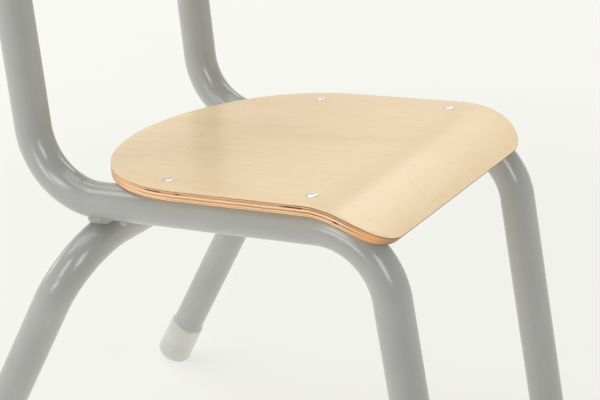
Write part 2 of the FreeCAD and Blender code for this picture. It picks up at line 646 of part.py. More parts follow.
def make_rivet(name):
    """Blind rivet: domed head, hollow shank and set end. The origin is under its head."""
    piece = new_body(name)
    bore = "Sizes.mandrel / 2"
    shank = "Sizes.rivet_shank / 2"
    head = "Sizes.rivet_head / 2"
    bulb = "Sizes.rivet_bulb / 2"
    sphere = dome_radius(head, "Sizes.rivet_dome - Sizes.rivet_rim")
    bore_top = "Sizes.rivet_dome - %s + sqrt((%s) ^ 2 - (%s) ^ 2)" % (sphere, sphere, bore)
    revolve(piece, (
        (bore, BULB_END),
        (bulb, BULB_END),
        (bulb, "-" + BULB_DEPTH),
        (shank, "-" + SHANK_DEPTH),
        (shank, "0"),
        (head, "0"),
        (head, "Sizes.rivet_rim"),
        (bore, bore_top),
    ), domes=((6, sphere),))
    piece.Placement = RIVETS[name]
    return piece


def make_mandrel(name, rivet):
    """What stays of the mandrel in a set rivet: the broken stem and its head."""
    piece = new_body(name)
    stem = "Sizes.mandrel / 2"
    head = "Sizes.mandrel_head / 2"
    revolve(piece, (
        ("0", BULB_END + " - Sizes.mandrel_head_length"),
        (head, BULB_END + " - Sizes.mandrel_head_length"),
        (head, BULB_END),
        (stem, BULB_END),
        (stem, "-Sizes.mandrel_sunk"),
        ("0", "-Sizes.mandrel_sunk"),
    ))
    piece.Placement = RIVETS[rivet]
    return piece


def cut_away(name, base, tools):
    """A named sub-part: one solid with others cut out of it in turn."""
    for tool in tools:
        last = tool is tools[-1]
        result = doc.addObject("Part::Cut", name if last else tool.Name + "_cut")
        result.Base = base
        result.Tool = tool
        base = result
    result.Label = name
    return result


def make_foot_cap(name, placement):
    """Sleeve cap on the end of a leg, flattened where it stands on the floor."""
    cup = new_body(name + "_cup")
    bore = "Sizes.tube_od / 2 + Sizes.cap_fit"
    mouth = "Sizes.cap_length - Sizes.cap_sole"
    turned = revolve(cup, (
        ("0", "-Sizes.cap_sole"),
        ("Sizes.cap_od / 2", "-Sizes.cap_sole"),
        ("Sizes.cap_mouth_od / 2", mouth),
        (bore, mouth),
        (bore, "0"),
        ("0", "0"),
    ))
    doc.recompute()
    rounded = round_circles(cup, turned, "Sizes.cap_od / 2", "Sizes.cap_round", "bottom")
    doc.recompute()
    round_circles(cup, rounded, "Sizes.cap_mouth_od / 2", "Sizes.cap_rim_round", "mouth")
    cup.Placement = placement
    # A block below the floor, wide and deep enough for the whole cap
    block = "2 * Sizes.cap_length"
    reach = value("Sizes.cap_length")
    corner = FreeCAD.Vector(placement.Base.x - reach, placement.Base.y - reach, -value(block))
    floor = primitive("Box", name + "_floor", FreeCAD.Placement(corner, FreeCAD.Rotation()),
                      Length=block, Width=block, Height=block)
    return cut_away(name, cup, (floor,))


def make_plug(side, sign):
    """Domed plug in the top of an upright."""
    piece = new_body("upright_plug_" + side)
    place(piece, turn="-Sizes.upright_lean", x="%d * %s" % (sign, HALF_SPACING),
          y=UPRIGHT_END_BACK, z="Sizes.upright_top")
    stem = "%s - Sizes.plug_fit" % BORE_R
    revolve(piece, (
        ("0", "-Sizes.plug_depth"),
        (stem, "-Sizes.plug_depth"),
        (stem, "0"),
        (TUBE_R, "0"),
        (TUBE_R, "Sizes.plug_rim"),
        ("0", "Sizes.plug_dome"),
    ), domes=((4, dome_radius(TUBE_R, "Sizes.plug_dome - Sizes.plug_rim")),))
    return piece


def primitive(kind, name, placement, **sizes):
    """A plain solid used to shape another piece."""
    solid = doc.addObject("Part::" + kind, name)
    bind(solid, **sizes)
    solid.Placement = placement
    return solid


def make_rear_weld(side, sign, side_tube, rear_frame):
    """Bead between a rail and the rear leg frame, filling the space where they cross."""
    name = "rear_weld_" + side
    on_rail, on_frame = side_tube.Shape.distToShape(rear_frame.Shape)[1][0]
    middle = (on_rail + on_frame) / 2
    rail_way = turn_about_x("-Sizes.rail_slope")
    height = value("Sizes.bead_height")
    lump = primitive("Cylinder", name + "_lump",
                     FreeCAD.Placement(middle - FreeCAD.Vector(0, 0, height), FreeCAD.Rotation()),
                     Radius="Sizes.bead_reach", Height="2 * Sizes.bead_height")
    flat_y = FreeCAD.Rotation(FreeCAD.Vector(1, 0, 0), -90)
    flat_x = FreeCAD.Rotation(FreeCAD.Vector(0, 1, 0), 90)
    corner = FreeCAD.Vector(sign * value(HALF_SPACING), value("Sizes.front_corner_back"),
                            value("Sizes.front_corner_up"))
    rail = primitive("Cylinder", name + "_rail", FreeCAD.Placement(corner, rail_way * flat_y),
                     Radius=TUBE_R, Height="2 * Sizes.rail_run")
    bend_centre = FreeCAD.Vector(sign * value(REAR_BEND_START), 0, -value("Sizes.bend_radius"))
    bend = primitive("Torus", name + "_bend",
                     rear_frame.Placement * FreeCAD.Placement(bend_centre, flat_y),
                     Radius1="Sizes.bend_radius", Radius2=TUBE_R)
    bar_end = FreeCAD.Vector(-value(REAR_BEND_START), 0, 0)
    bar = primitive("Cylinder", name + "_bar",
                    rear_frame.Placement * FreeCAD.Placement(bar_end, flat_x),
                    Radius=TUBE_R, Height="2 * %s" % REAR_BEND_START)
    return cut_away(name, lump, (rail, bend, bar))


def make_cross_weld(side, sign, cross_tube):
    """Bead round one end of the cross tube, on the surface of the rail."""
    name = "cross_weld_" + side
    into_rail = cross_tube.Placement * FreeCAD.Placement(
        FreeCAD.Vector(sign * value(HALF_SPACING), 0, 0),
        FreeCAD.Rotation(FreeCAD.Vector(0, 1, 0), -sign * 90))
    sleeve = primitive("Cylinder", name + "_sleeve", into_rail,
                       Radius="Sizes.brace_od / 2 + Sizes.brace_bead", Height="Sizes.tube_od")
    bar = primitive("Cylinder", name + "_bar", into_rail,
                    Radius="Sizes.brace_od / 2", Height="2 * Sizes.tube_od")
    along = FreeCAD.Placement(FreeCAD.Vector(sign * value(HALF_SPACING), -value("Sizes.tube_od"), 0),
                              FreeCAD.Rotation(FreeCAD.Vector(1, 0, 0), -90))
    rail = primitive("Cylinder", name + "_rail", cross_tube.Placement * along,
                     Radius=TUBE_R, Height="2 * Sizes.tube_od")
    near = primitive("Cylinder", name + "_reach", cross_tube.Placement * along,
                     Radius=TUBE_R + " + Sizes.brace_bead", Height="2 * Sizes.tube_od")
    collar = doc.addObject("Part::MultiCommon", name + "_collar")
    collar.Shapes = [sleeve, near]
    return cut_away(name, collar, (rail, bar))


def foot_placements():
    """Where the end of each leg is, with +Z up along the leg."""
    places = {}
    front_lean = turn_about_x("-Sizes.front_leg_lean")
    rear_lean = turn_about_x("Sizes.rear_leg_lean")
    for side, sign in SIDES:
        front = FreeCAD.Vector(sign * value(HALF_SPACING), value(FRONT_FOOT_BACK),
                               value(FRONT_FOOT_UP))
        places["foot_cap_front_" + side] = FreeCAD.Placement(front, front_lean)
        rear = FreeCAD.Vector(sign * value(REAR_FOOT_OUT), value(REAR_FOOT_BACK),
                              value(REAR_FOOT_UP))
        splay = FreeCAD.Rotation(FreeCAD.Vector(0, 1, 0), -sign * value("Sizes.rear_leg_splay"))
        places["foot_cap_rear_" + side] = FreeCAD.Placement(rear, rear_lean * splay)
    return places


def make_chair():
    """Every piece of the chair, in the order in which it is put together."""
    side_tubes = {side: make_side_tube(side, sign) for side, sign in SIDES}
    rear_frame = make_rear_leg_frame()
    cross_tube = make_cross_tube()
    doc.recompute()
    pieces = list(side_tubes.values()) + [rear_frame, cross_tube]
    for side, sign in SIDES:
        pieces.append(make_rear_weld(side, sign, side_tubes[side], rear_frame))
        pieces.append(make_cross_weld(side, sign, cross_tube))

    # The skins of the seat are two faces each, flat and bent, and those of the back one each
    for kind, (board, blank), skins in (("seat", make_seat(), 4), ("back", make_back(), 2)):
        round_rims(board, blank, broad_faces(blank.Shape, skins), kind + "_rims")
        doc.recompute()
        own_rivets = [name for name in RIVETS if name.startswith(kind)]
        drill_rivet_holes(board, own_rivets, "2 * Sizes.ply")
        pieces.append(board)

    for name in RIVETS:
        pieces.append(make_rivet(name))
        pieces.append(make_mandrel(name.replace("rivet", "rivet_mandrel"), name))
    for name, placement in foot_placements().items():
        pieces.append(make_foot_cap(name, placement))
    for side, sign in SIDES:
        pieces.append(make_plug(side, sign))
    doc.recompute()
    return pieces


def check(pieces):
    """Stops before anything is written if an object failed or a piece has no sound shape."""
    for thing in doc.Objects:
        if "Invalid" in thing.State or "Error" in thing.State:
            raise RuntimeError("%s failed: %s" % (thing.Name, thing.State))
    for piece in pieces:
        if piece.Shape.isNull() or not piece.Shape.isValid() or not piece.Shape.Solids:
            raise RuntimeError("%s has no sound shape" % piece.Label)


pieces = make_chair()
check(pieces)
os.makedirs("parts", exist_ok=True)
for piece in pieces:
    piece.Shape.exportStep(os.path.join("parts", piece.Label + ".step"))
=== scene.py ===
import math

import bmesh
import bpy
from mathutils import Matrix, Quaternion, Vector, geometry, noise
from mathutils.bvhtree import BVHTree


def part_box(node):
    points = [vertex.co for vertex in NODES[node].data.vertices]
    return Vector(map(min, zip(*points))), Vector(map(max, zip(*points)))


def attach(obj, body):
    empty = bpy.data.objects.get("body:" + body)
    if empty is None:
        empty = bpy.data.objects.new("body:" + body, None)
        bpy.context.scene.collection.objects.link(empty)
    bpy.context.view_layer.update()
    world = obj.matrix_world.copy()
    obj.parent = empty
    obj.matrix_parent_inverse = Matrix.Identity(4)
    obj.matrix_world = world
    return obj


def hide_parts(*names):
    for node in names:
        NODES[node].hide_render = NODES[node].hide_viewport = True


# Small stacking chair: a powder coated frame of bent tubes, a moulded plywood seat and
# back with their plies showing at the edges, blind rivets, sleeve foot caps and plugs.
# Metres; X across the chair, -Y the front, +Z up.

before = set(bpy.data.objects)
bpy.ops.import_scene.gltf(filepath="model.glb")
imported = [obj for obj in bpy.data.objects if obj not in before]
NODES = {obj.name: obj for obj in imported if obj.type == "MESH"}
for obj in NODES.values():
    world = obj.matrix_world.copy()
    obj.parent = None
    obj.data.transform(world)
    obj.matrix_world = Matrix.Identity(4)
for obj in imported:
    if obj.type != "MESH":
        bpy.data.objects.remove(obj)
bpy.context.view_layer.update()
SCENE = bpy.context.scene
SIDES = (("right", -1), ("left", 1))
MM = 0.001

# Sizes of the frame, as the solids have them

SIDE_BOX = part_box("side_tube_left")
REAR_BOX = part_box("rear_leg_frame")
TUBE_RADIUS = (SIDE_BOX[1].x - SIDE_BOX[0].x) / 2
TUBE_WALL = 1.5 * MM
HALF_SPACING = (SIDE_BOX[1].x + SIDE_BOX[0].x) / 2
BEND_RADIUS = 50 * MM
FRONT_CORNER = Vector((0, -132 * MM, 260 * MM))
RAIL_RUN = 254 * MM
RAIL_SLOPE = math.radians(3.9)
FRONT_LEG_LEAN = math.radians(11.2)
UPRIGHT_LEAN = math.radians(6.8)
REAR_CORNER_OUT = 138 * MM
REAR_LEG_LEAN = math.radians(27)
REAR_LEG_SPLAY = math.radians(1.2)
BRACE_RADIUS = 9.5 * MM
BRACE_SETBACK = 30 * MM
RAIL_TURN = Quaternion((1, 0, 0), -RAIL_SLOPE)
FRONT_BEND_REACH = BEND_RADIUS * math.tan((math.pi / 2 - FRONT_LEG_LEAN + RAIL_SLOPE) / 2)

# Sizes of the boards

PLY = 7 * MM
ARRIS = 0.5 * MM
SEAT_HALF_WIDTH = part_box("seat_panel")[1].x
SEAT_FLAT = 195 * MM
SEAT_BEND = math.radians(49.5)
SEAT_REAR_BOW = 72 * MM
SEAT_REAR_CORNER = 95 * MM
SEAT_FRONT_CORNER = 34 * MM
SEAT_RIVET_START = 2.5 * MM
SEAT_RIVET_PITCH = 105 * MM
BACK_HALF_WIDTH = 128 * MM
BACK_HALF_HEIGHT = 65 * MM
BACK_RADIUS = 350 * MM
BACK_CORNER = 42 * MM
BACK_ABOVE_TUBE = 11 * MM
BACK_RIVET_PITCH = 64 * MM

# The plies from the top skin down: thickness in millimetres, and how the edge looks there. The lip
# is the skin at the upper arris; across the grain, on the front edge, it is painted dark as the
# shade of that arris. There is a dark line next to each face. The upper one lies just under the
# top skin. The lower one, next to the bottom face, is painted shade along the lower arris, where
# the board rests on the rails. Long plies run with the skins and cross plies across them.
PLIES = (
    (0.2, "lip"),
    (0.6, "scorch"),
    (0.4, "skin"),
    (1.1, "cross"),
    (1.3, "long"),
    (1.0, "cross"),
    (0.9, "long"),
    (0.4, "glue"),
    (0.6, "skin"),
    # Painted shade along the lower arris, where the board rests on the rails
    (0.5, "scorch"),
)


def srgb(red, green, blue):
    """A colour written from 0 to 255, as a shader wants it."""
    linear = []
    for level in (red / 255, green / 255, blue / 255):
        linear.append(level / 12.92 if level <= 0.04045 else ((level + 0.055) / 1.055) ** 2.4)
    return (*linear, 1.0)


class Graph:
    """Adds nodes to a tree. An input is given a value or another node's output."""

    def __init__(self, tree):
        self.tree = tree

    def add(self, kind, inputs=None, **settings):
        made = self.tree.nodes.new(kind)
        for name, setting in settings.items():
            setattr(made, name, setting)
        for name, given in (inputs or {}).items():
            if isinstance(given, bpy.types.NodeSocket):
                self.tree.links.new(given, made.inputs[name])
            else:
                made.inputs[name].default_value = given
        return made

    def math(self, operation, first, second, clamp=False):
        made = self.add("ShaderNodeMath", {0: first, 1: second}, operation=operation)
        made.use_clamp = clamp
        return made.outputs[0]

    def blend(self, factor, first, second, way="MIX"):
        made = self.add("ShaderNodeMix", {0: factor, 6: first, 7: second},
                        data_type="RGBA", blend_type=way)
        return made.outputs[2]

    def scaled(self, vector, scale):
        """A pattern's coordinates, drawn out along some axes by small numbers there."""
        return self.add("ShaderNodeVectorMath", {0: vector, 1: scale},
                        operation="MULTIPLY").outputs[0]

    def noise(self, vector, scale=1.0, detail=2.0, roughness=0.5, distortion=0.0):
        made = self.add("ShaderNodeTexNoise", {
            "Vector": vector, "Scale": scale, "Detail": detail,
            "Roughness": roughness, "Distortion": distortion})
        return made.outputs["Fac"]

    def ramp(self, factor, stops):
        """Colours that follow a pattern, from stops of (place in its range, colour)."""
        made = self.add("ShaderNodeValToRGB", {0: factor})
        elements = made.color_ramp.elements
        while len(elements) < len(stops):
            elements.new(1.0)
        for element, (position, colour) in zip(elements, stops):
            element.position = position
            element.color = colour
        return made.outputs[0]

    def stretch(self, factor, low, high):
        """A pattern's range from low to high, drawn out to run from 0 to 1."""
        return self.add("ShaderNodeMapRange", {0: factor, 1: low, 2: high}).outputs[0]

    def level(self, factor, least, spread):
        """A number that follows a pattern: least where the pattern is 0, up by spread where 1."""
        return self.add("ShaderNodeMath", {0: factor, 1: spread, 2: least},
                        operation="MULTIPLY_ADD").outputs[0]

    def relief(self, height, depth, strength):
        """Fine relief of a depth in metres, for the shader's normal."""
        return self.add("ShaderNodeBump", {
            "Height": height, "Distance": depth, "Strength": strength}).outputs[0]

    def seen(self):
        """1 for rays that show a thing, straight, mirrored or through clear parts, else 0."""
        path = self.add("ShaderNodeLightPath").outputs
        return self.math("MAXIMUM", path["Is Camera Ray"],
                         self.math("MAXIMUM", path["Is Glossy Ray"], path["Is Transmission Ray"]))


class Finish(Graph):
    """A material with one principled shader and what is the same all over it."""

    def __init__(self, name, **constants):
        self.material = bpy.data.materials.new(name)
        self.material.use_nodes = True
        super().__init__(self.material.node_tree)
        self.tree.nodes.clear()
        self.shader = self.add("ShaderNodeBsdfPrincipled", {
            key.replace("_", " "): setting for key, setting in constants.items()})
        self.output = self.add("ShaderNodeOutputMaterial", {"Surface": self.shader.outputs[0]})

    def place(self):
        """The piece's own coordinates, which the patterns read."""
        return self.add("ShaderNodeTexCoord").outputs["Object"]

    def finished(self, **patterns):
        """Gives the shader its patterns, by the names of its sockets, and ends the material."""
        for name, pattern in patterns.items():
            self.tree.links.new(pattern, self.shader.inputs[name.replace("_", " ")])
        return self.material


def powder_coat():
    """Light grey gloss powder coat, with its fine orange peel."""
    coat = Finish("powder_coat_grey")
    place = coat.place()
    cloud = coat.noise(place, scale=35, detail=2)
    return coat.finished(
        Base_Color=coat.ramp(cloud, ((0.3, srgb(158, 159, 156)), (0.7, srgb(162, 163, 160)))),
        Roughness=coat.level(coat.noise(place, scale=90, detail=2), 0.14, 0.08),
        Normal=coat.relief(coat.noise(place, scale=650, detail=1), 0.012 * MM, 0.25))


def veneer(name, grain_axis):
    """Lacquered beech veneer. The grain runs along one axis of the chair: 0 is X, 1 is Y."""
    skin = Finish(name, Specular_IOR_Level=0.27)
    place = skin.place()

    def drawn(across_grain, with_grain):
        scale = [across_grain] * 3
        scale[grain_axis] = with_grain
        return skin.scaled(place, scale)

    bands = skin.noise(drawn(24, 4.5), detail=3, distortion=0.6)
    streaks = skin.noise(drawn(210, 7), detail=4, roughness=0.6)
    lines = skin.noise(drawn(1100, 26), detail=2)
    flecks = skin.stretch(skin.noise(drawn(1500, 260), detail=1), 0.64, 0.74)
    colour = skin.ramp(bands, (
        (0.30, srgb(242, 213, 168)), (0.46, srgb(245, 219, 177)), (0.72, srgb(246, 222, 183))))
    tone = skin.ramp(streaks, (
        (0.30, (0.90, 0.87, 0.82, 1)), (0.52, (1, 1, 1, 1)), (0.75, (1.0, 0.985, 0.96, 1))))
    colour = skin.blend(0.35, colour, tone, "MULTIPLY")
    fine = skin.ramp(lines, ((0.32, (0.93, 0.90, 0.86, 1)), (0.55, (1, 1, 1, 1))))
    colour = skin.blend(0.25, colour, fine, "MULTIPLY")
    height = skin.math("SUBTRACT", lines, skin.math("MULTIPLY", flecks, 0.6))
    return skin.finished(
        Base_Color=skin.blend(skin.math("MULTIPLY", flecks, 0.08), colour, srgb(206, 160, 112)),
        Roughness=skin.level(lines, 0.25, 0.08),
        Normal=skin.relief(height, 0.01 * MM, 0.06))


def ply_stops(tones):
    """Colour stops down the thickness of the board, one pair for each ply."""
    soft = 0.006
    total = sum(thickness for thickness, kind in PLIES)
    stops = []
    top = 0.0
    for thickness, kind in PLIES:
        bottom = top + thickness / total
        stops.append((top + soft, tones[kind]))
        stops.append((bottom - soft, tones[kind]))
        top = bottom
    return stops


def ply_edge():
    """The cut edge of the plywood: light and dark plies, glue lines and pores, and painted shade
    in its voids, along its lower arris and on its front edge.
    """
    edge = Finish("ply_edge", Specular_IOR_Level=0.35, Roughness=0.55)

    def own(name):
        return edge.add("ShaderNodeAttribute", attribute_name=name).outputs["Fac"]

    depth = own("ply_depth")
    where = edge.add("ShaderNodeCombineXYZ", {
        0: own("rim_length"), 1: edge.math("MULTIPLY", depth, PLY)}).outputs[0]

    def pattern(along_edge, down_edge, detail):
        return edge.noise(edge.scaled(where, (along_edge, down_edge, 1)), detail=detail)

    waver = edge.math("MULTIPLY", edge.math("SUBTRACT", pattern(90, 60, 2), 0.5), 0.09)
    wavy_depth = edge.math("ADD", depth, waver, clamp=True)
    # Next to the bottom face, the last dark line is painted shade along the lower arris.
    cut_along_grain = edge.ramp(wavy_depth, ply_stops({
        "lip": srgb(240, 204, 162), "skin": srgb(240, 204, 162),
        "scorch": srgb(122, 86, 56), "glue": srgb(190, 146, 106),
        "long": srgb(246, 208, 168), "cross": srgb(172, 126, 86)}))
    # Across the grain, on the front edge, the lip is painted dark as the shade of that arris.
    cut_across_grain = edge.ramp(wavy_depth, ply_stops({
        "lip": srgb(112, 88, 64), "skin": srgb(222, 182, 138),
        "scorch": srgb(128, 98, 70), "glue": srgb(200, 158, 116),
        "long": srgb(208, 166, 122), "cross": srgb(228, 190, 148)}))
    colour = edge.blend(own("end_grain"), cut_along_grain, cut_across_grain)
    white = (1, 1, 1, 1)
    streaks = edge.ramp(pattern(260, 2600, 3), ((0.30, (0.84, 0.77, 0.68, 1)), (0.52, white)))
    colour = edge.blend(0.75, colour, streaks, "MULTIPLY")
    pores = edge.ramp(pattern(1500, 2600, 1), ((0.33, (0.72, 0.60, 0.47, 1)), (0.44, white)))
    colour = edge.blend(0.6, colour, pores, "MULTIPLY")
    patches = edge.ramp(pattern(38, 120, 2), ((0.34, (0.90, 0.82, 0.72, 1)), (0.6, white)))
    colour = edge.blend(0.8, colour, patches, "MULTIPLY")
    colour = edge.blend(edge.math("MULTIPLY", own("plain"), 0.7), colour, srgb(226, 182, 138))
    # At the low front of the edge: its own orange tint along the grain and, across the grain on
    # the front edge, a dark tone that is painted shade of that edge. The top skin keeps its
    # colour.
    tint_and_shade = edge.blend(own("end_grain"), srgb(234, 166, 96), srgb(142, 110, 80))
    tint_and_shade_below_skin = edge.math("MULTIPLY", own("front_tint_and_shade"), edge.math("GREATER_THAN", depth, 0.1))
    colour = edge.blend(edge.math("MULTIPLY", tint_and_shade_below_skin, 0.8), colour, tint_and_shade)
    return edge.finished(
        # The voids are painted dark, as the shade inside them, over their real recess.
        Base_Color=edge.blend(own("void"), colour, srgb(84, 52, 28)),
        Normal=edge.relief(pattern(700, 2400, 2), 0.05 * MM, 0.5))


def bright_aluminium():
    """The plain aluminium of a blind rivet, turned and lightly scuffed."""
    metal = Finish("rivet_aluminium_bright", Metallic=1.0)
    place = metal.place()
    cloud = metal.noise(place, scale=800, detail=3)
    return metal.finished(
        Base_Color=metal.ramp(cloud, ((0.35, srgb(188, 190, 187)), (0.65, srgb(204, 206, 203)))),
        Roughness=metal.level(cloud, 0.3, 0.2),
        Normal=metal.relief(metal.noise(place, scale=2600, detail=2), 0.01 * MM, 0.4))


def broken_steel():
    """The rough broken end of a rivet mandrel."""
    metal = Finish("mandrel_steel_dull", Metallic=1.0, Roughness=0.5)
    cloud = metal.noise(metal.place(), scale=1700, detail=3)
    return metal.finished(
        Base_Color=metal.ramp(cloud, ((0.35, srgb(92, 92, 94)), (0.7, srgb(150, 150, 152)))),
        Normal=metal.relief(cloud, 0.15 * MM, 0.7))


def cloudy_plastic():
    """Soft, cloudy, slightly see-through plastic of the foot caps."""
    plastic = Finish("cap_plastic_cloudy", Subsurface_Weight=0.35, Subsurface_Scale=4 * MM,
                     Subsurface_Radius=(1.0, 0.95, 0.85))
    place = plastic.place()
    cloud = plastic.noise(place, scale=60, detail=3)
    colour = plastic.ramp(cloud, ((0.35, srgb(185, 186, 180)), (0.65, srgb(193, 194, 189))))
    scuff = plastic.noise(plastic.scaled(place, (90, 90, 420)), detail=3)
    scuff = plastic.stretch(scuff, 0.6, 0.8)
    return plastic.finished(
        Base_Color=plastic.blend(plastic.math("MULTIPLY", scuff, 0.25), colour,
                                 srgb(178, 178, 170)),
        Roughness=plastic.level(scuff, 0.42, 0.2),
        Normal=plastic.relief(plastic.noise(place, scale=420, detail=2), 0.03 * MM, 0.3))


def plug_plastic():
    """Fine textured grey plastic of the plugs."""
    plastic = Finish("plug_plastic_grey")
    place = plastic.place()
    cloud = plastic.noise(place, scale=90, detail=2)
    grain = plastic.noise(place, scale=1500, detail=2)
    return plastic.finished(
        Base_Color=plastic.ramp(cloud, ((0.35, srgb(120, 123, 122)), (0.65, srgb(130, 133, 132)))),
        Roughness=plastic.level(grain, 0.38, 0.2),
        Normal=plastic.relief(grain, 0.04 * MM, 0.4))


COAT = powder_coat()
SEAT_FACE = veneer("beech_veneer_seat", grain_axis=1)
BACK_FACE = veneer("beech_veneer_back", grain_axis=0)
PLY_EDGE = ply_edge()
ALUMINIUM = bright_aluminium()
MANDREL = broken_steel()
CAP_PLASTIC = cloudy_plastic()
PLUG_PLASTIC = plug_plastic()


def add_piece(name, mesh, slot, *replaced):
    """Adds a finished mesh to the chair, standing for the named nodes."""
    piece = bpy.data.objects.new(name, mesh)
    SCENE.collection.objects.link(piece)
    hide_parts(*replaced)
    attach(piece, "root")
    return piece


def repaint(node, finish):
    """Gives a piece that keeps its own mesh a better finish."""
    NODES[node].data.materials.clear()
    NODES[node].data.materials.append(finish)


# Geometry trees

def new_tree(name, **sockets):
    """A geometry tree with named inputs: its graph and its group input node."""
    tree = bpy.data.node_groups.new(name, "GeometryNodeTree")
    tree.is_modifier = True
    tree.interface.new_socket("Geometry", in_out="INPUT", socket_type="NodeSocketGeometry")
    for socket, kind in sockets.items():
        tree.interface.new_socket(socket.replace("_", " "), in_out="INPUT",
                                  socket_type="NodeSocket" + kind)
    tree.interface.new_socket("Geometry", in_out="OUTPUT", socket_type="NodeSocketGeometry")
    graph = Graph(tree)
    return graph, graph.add("NodeGroupInput").outputs


def end_tree(graph, given, shape):
    """Ends a tree with real geometry, smooth, in the finish that it was given."""
    real = graph.add("GeometryNodeRealizeInstances", {0: shape})
    smooth = graph.add("GeometryNodeSetShadeSmooth", {"Geometry": real.outputs[0]})
    finish = graph.add("GeometryNodeSetMaterial",
                       {"Geometry": smooth.outputs[0], "Material": given["Finish"]})
    graph.add("NodeGroupOutput", {0: finish.outputs[0]})
    return graph.tree


def grow(tree, points, edges=(), attributes=None, **settings):
    """The plain mesh that a tree makes of points, joined by edges or not. The settings are the
    tree's named inputs, with an underscore for a space."""
    seed = bpy.data.meshes.new("seed")
    seed.from_pydata([tuple(point) for point in points], list(edges), [])
    for name, (kind, values) in (attributes or {}).items():
        layer = seed.attributes.new(name, kind, "POINT")
        for item, number in zip(layer.data, values):
            if kind == "FLOAT":
                item.value = number
            else:
                item.vector = number
    source = bpy.data.objects.new("source", seed)
    modifier = source.modifiers.new("grow", "NODES")
    modifier.node_group = tree
    for item in tree.interface.items_tree:
        if item.in_out == "INPUT" and item.name.replace(" ", "_") in settings:
            modifier[item.identifier] = settings[item.name.replace(" ", "_")]
    SCENE.collection.objects.link(source)
    evaluated = source.evaluated_get(bpy.context.evaluated_depsgraph_get())
    mesh = bpy.data.meshes.new_from_object(evaluated)
    source.modifiers.remove(modifier)
    bpy.data.objects.remove(source)
    return mesh


def tube_tree():
    """A round tube along a line of corners, each corner turned with one bend radius."""
    graph, given = new_tree("bent_tube", Bend_Radius="Float", Tube_Radius="Float",
                            Steps="Int", Sides="Int", Finish="Material")
    line = graph.add("GeometryNodeMeshToCurve", {0: given["Geometry"]})
    bent = graph.add("GeometryNodeFilletCurve", {
        "Curve": line.outputs[0], "Radius": given["Bend Radius"], "Count": given["Steps"]},
        mode="POLY")
    section = graph.add("GeometryNodeCurvePrimitiveCircle", {
        "Resolution": given["Sides"], "Radius": given["Tube Radius"]}, mode="RADIUS")
    tube = graph.add("GeometryNodeCurveToMesh", {
        "Curve": bent.outputs[0], "Profile Curve": section.outputs[0]})
    return end_tree(graph, given, tube.outputs[0])


def bead_tree():
    """A weld bead: drops of metal along a line, run together into ripples."""
    graph, given = new_tree("weld_bead", Pitch="Float", Ripple="Float", Grain="Float",
                            Seed="Int", Finish="Material")
    line = graph.add("GeometryNodeMeshToCurve", {0: given["Geometry"]})
    drops = graph.add("GeometryNodeCurveToPoints", {
        "Curve": line.outputs[0], "Length": given["Pitch"]}, mode="LENGTH")
    size = graph.add("GeometryNodeInputNamedAttribute", {"Name": "bead_size"},
                     data_type="FLOAT").outputs["Attribute"]
    uneven = graph.add("FunctionNodeRandomValue", {
        "Min": 0.93, "Max": 1.07, "Seed": given["Seed"]}, data_type="FLOAT")
    number = graph.add("GeometryNodeInputIndex").outputs[0]
    every_other = graph.math("MODULO", number, 2.0)
    ripple = graph.math("SUBTRACT", 1.0, graph.math("MULTIPLY", every_other, given["Ripple"]))
    radius = graph.math("MULTIPLY", graph.math("MULTIPLY", size, ripple), uneven.outputs[1])
    metal = graph.add("GeometryNodePointsToVolume", {
        "Points": drops.outputs[0], "Voxel Size": given["Grain"], "Radius": radius},
        resolution_mode="VOXEL_SIZE")
    skin = graph.add("GeometryNodeVolumeToMesh", {"Volume": metal.outputs[0], "Threshold": 0.1})
    return end_tree(graph, given, skin.outputs[0])


def fastener_tree():
    """Sets one form on each point, standing out of the surface there, each turned its own way."""
    graph, given = new_tree("set_fasteners", Form="Object", Seed="Int", Finish="Material")
    form = graph.add("GeometryNodeObjectInfo", {"Object": given["Form"]},
                     transform_space="ORIGINAL")
    outward = graph.add("GeometryNodeInputNamedAttribute", {"Name": "outward"},
                        data_type="FLOAT_VECTOR").outputs["Attribute"]
    turn = graph.add("FunctionNodeRandomValue", {
        "Max": (0.0, 0.0, math.tau), "Seed": given["Seed"]}, data_type="FLOAT_VECTOR")
    spun = graph.add("FunctionNodeAlignRotationToVector", {"Vector": outward}, axis="Z")
    both = graph.add("FunctionNodeRotateRotation", {
        "Rotation": spun.outputs[0], "Rotate By": turn.outputs[0]}, rotation_space="LOCAL")
    points = graph.add("GeometryNodeMeshToPoints", {"Mesh": given["Geometry"]})
    placed = graph.add("GeometryNodeInstanceOnPoints", {
        "Points": points.outputs[0], "Instance": form.outputs["Geometry"],
        "Rotation": both.outputs[0]})
    return end_tree(graph, given, placed.outputs[0])


TUBE_TREE = tube_tree()
BEAD_TREE = bead_tree()
FASTENER_TREE = fastener_tree()


# The frame of tubes

def side_corners(sign):
    """Foot, front corner, rear corner and top of one side tube, on its centre line."""
    foot_up = SIDE_BOX[0].z + TUBE_RADIUS * math.sin(FRONT_LEG_LEAN)
    top_up = SIDE_BOX[1].z - TUBE_RADIUS * math.sin(UPRIGHT_LEAN)
    front = Vector((sign * HALF_SPACING, FRONT_CORNER.y, FRONT_CORNER.z))
    rear = front + Vector((0, RAIL_RUN, -RAIL_RUN * math.tan(RAIL_SLOPE)))
    foot = front - Vector((0, math.tan(FRONT_LEG_LEAN), 1)) * (front.z - foot_up)
    top = rear + Vector((0, math.tan(UPRIGHT_LEAN), 1)) * (top_up - rear.z)
    return foot, front, rear, top


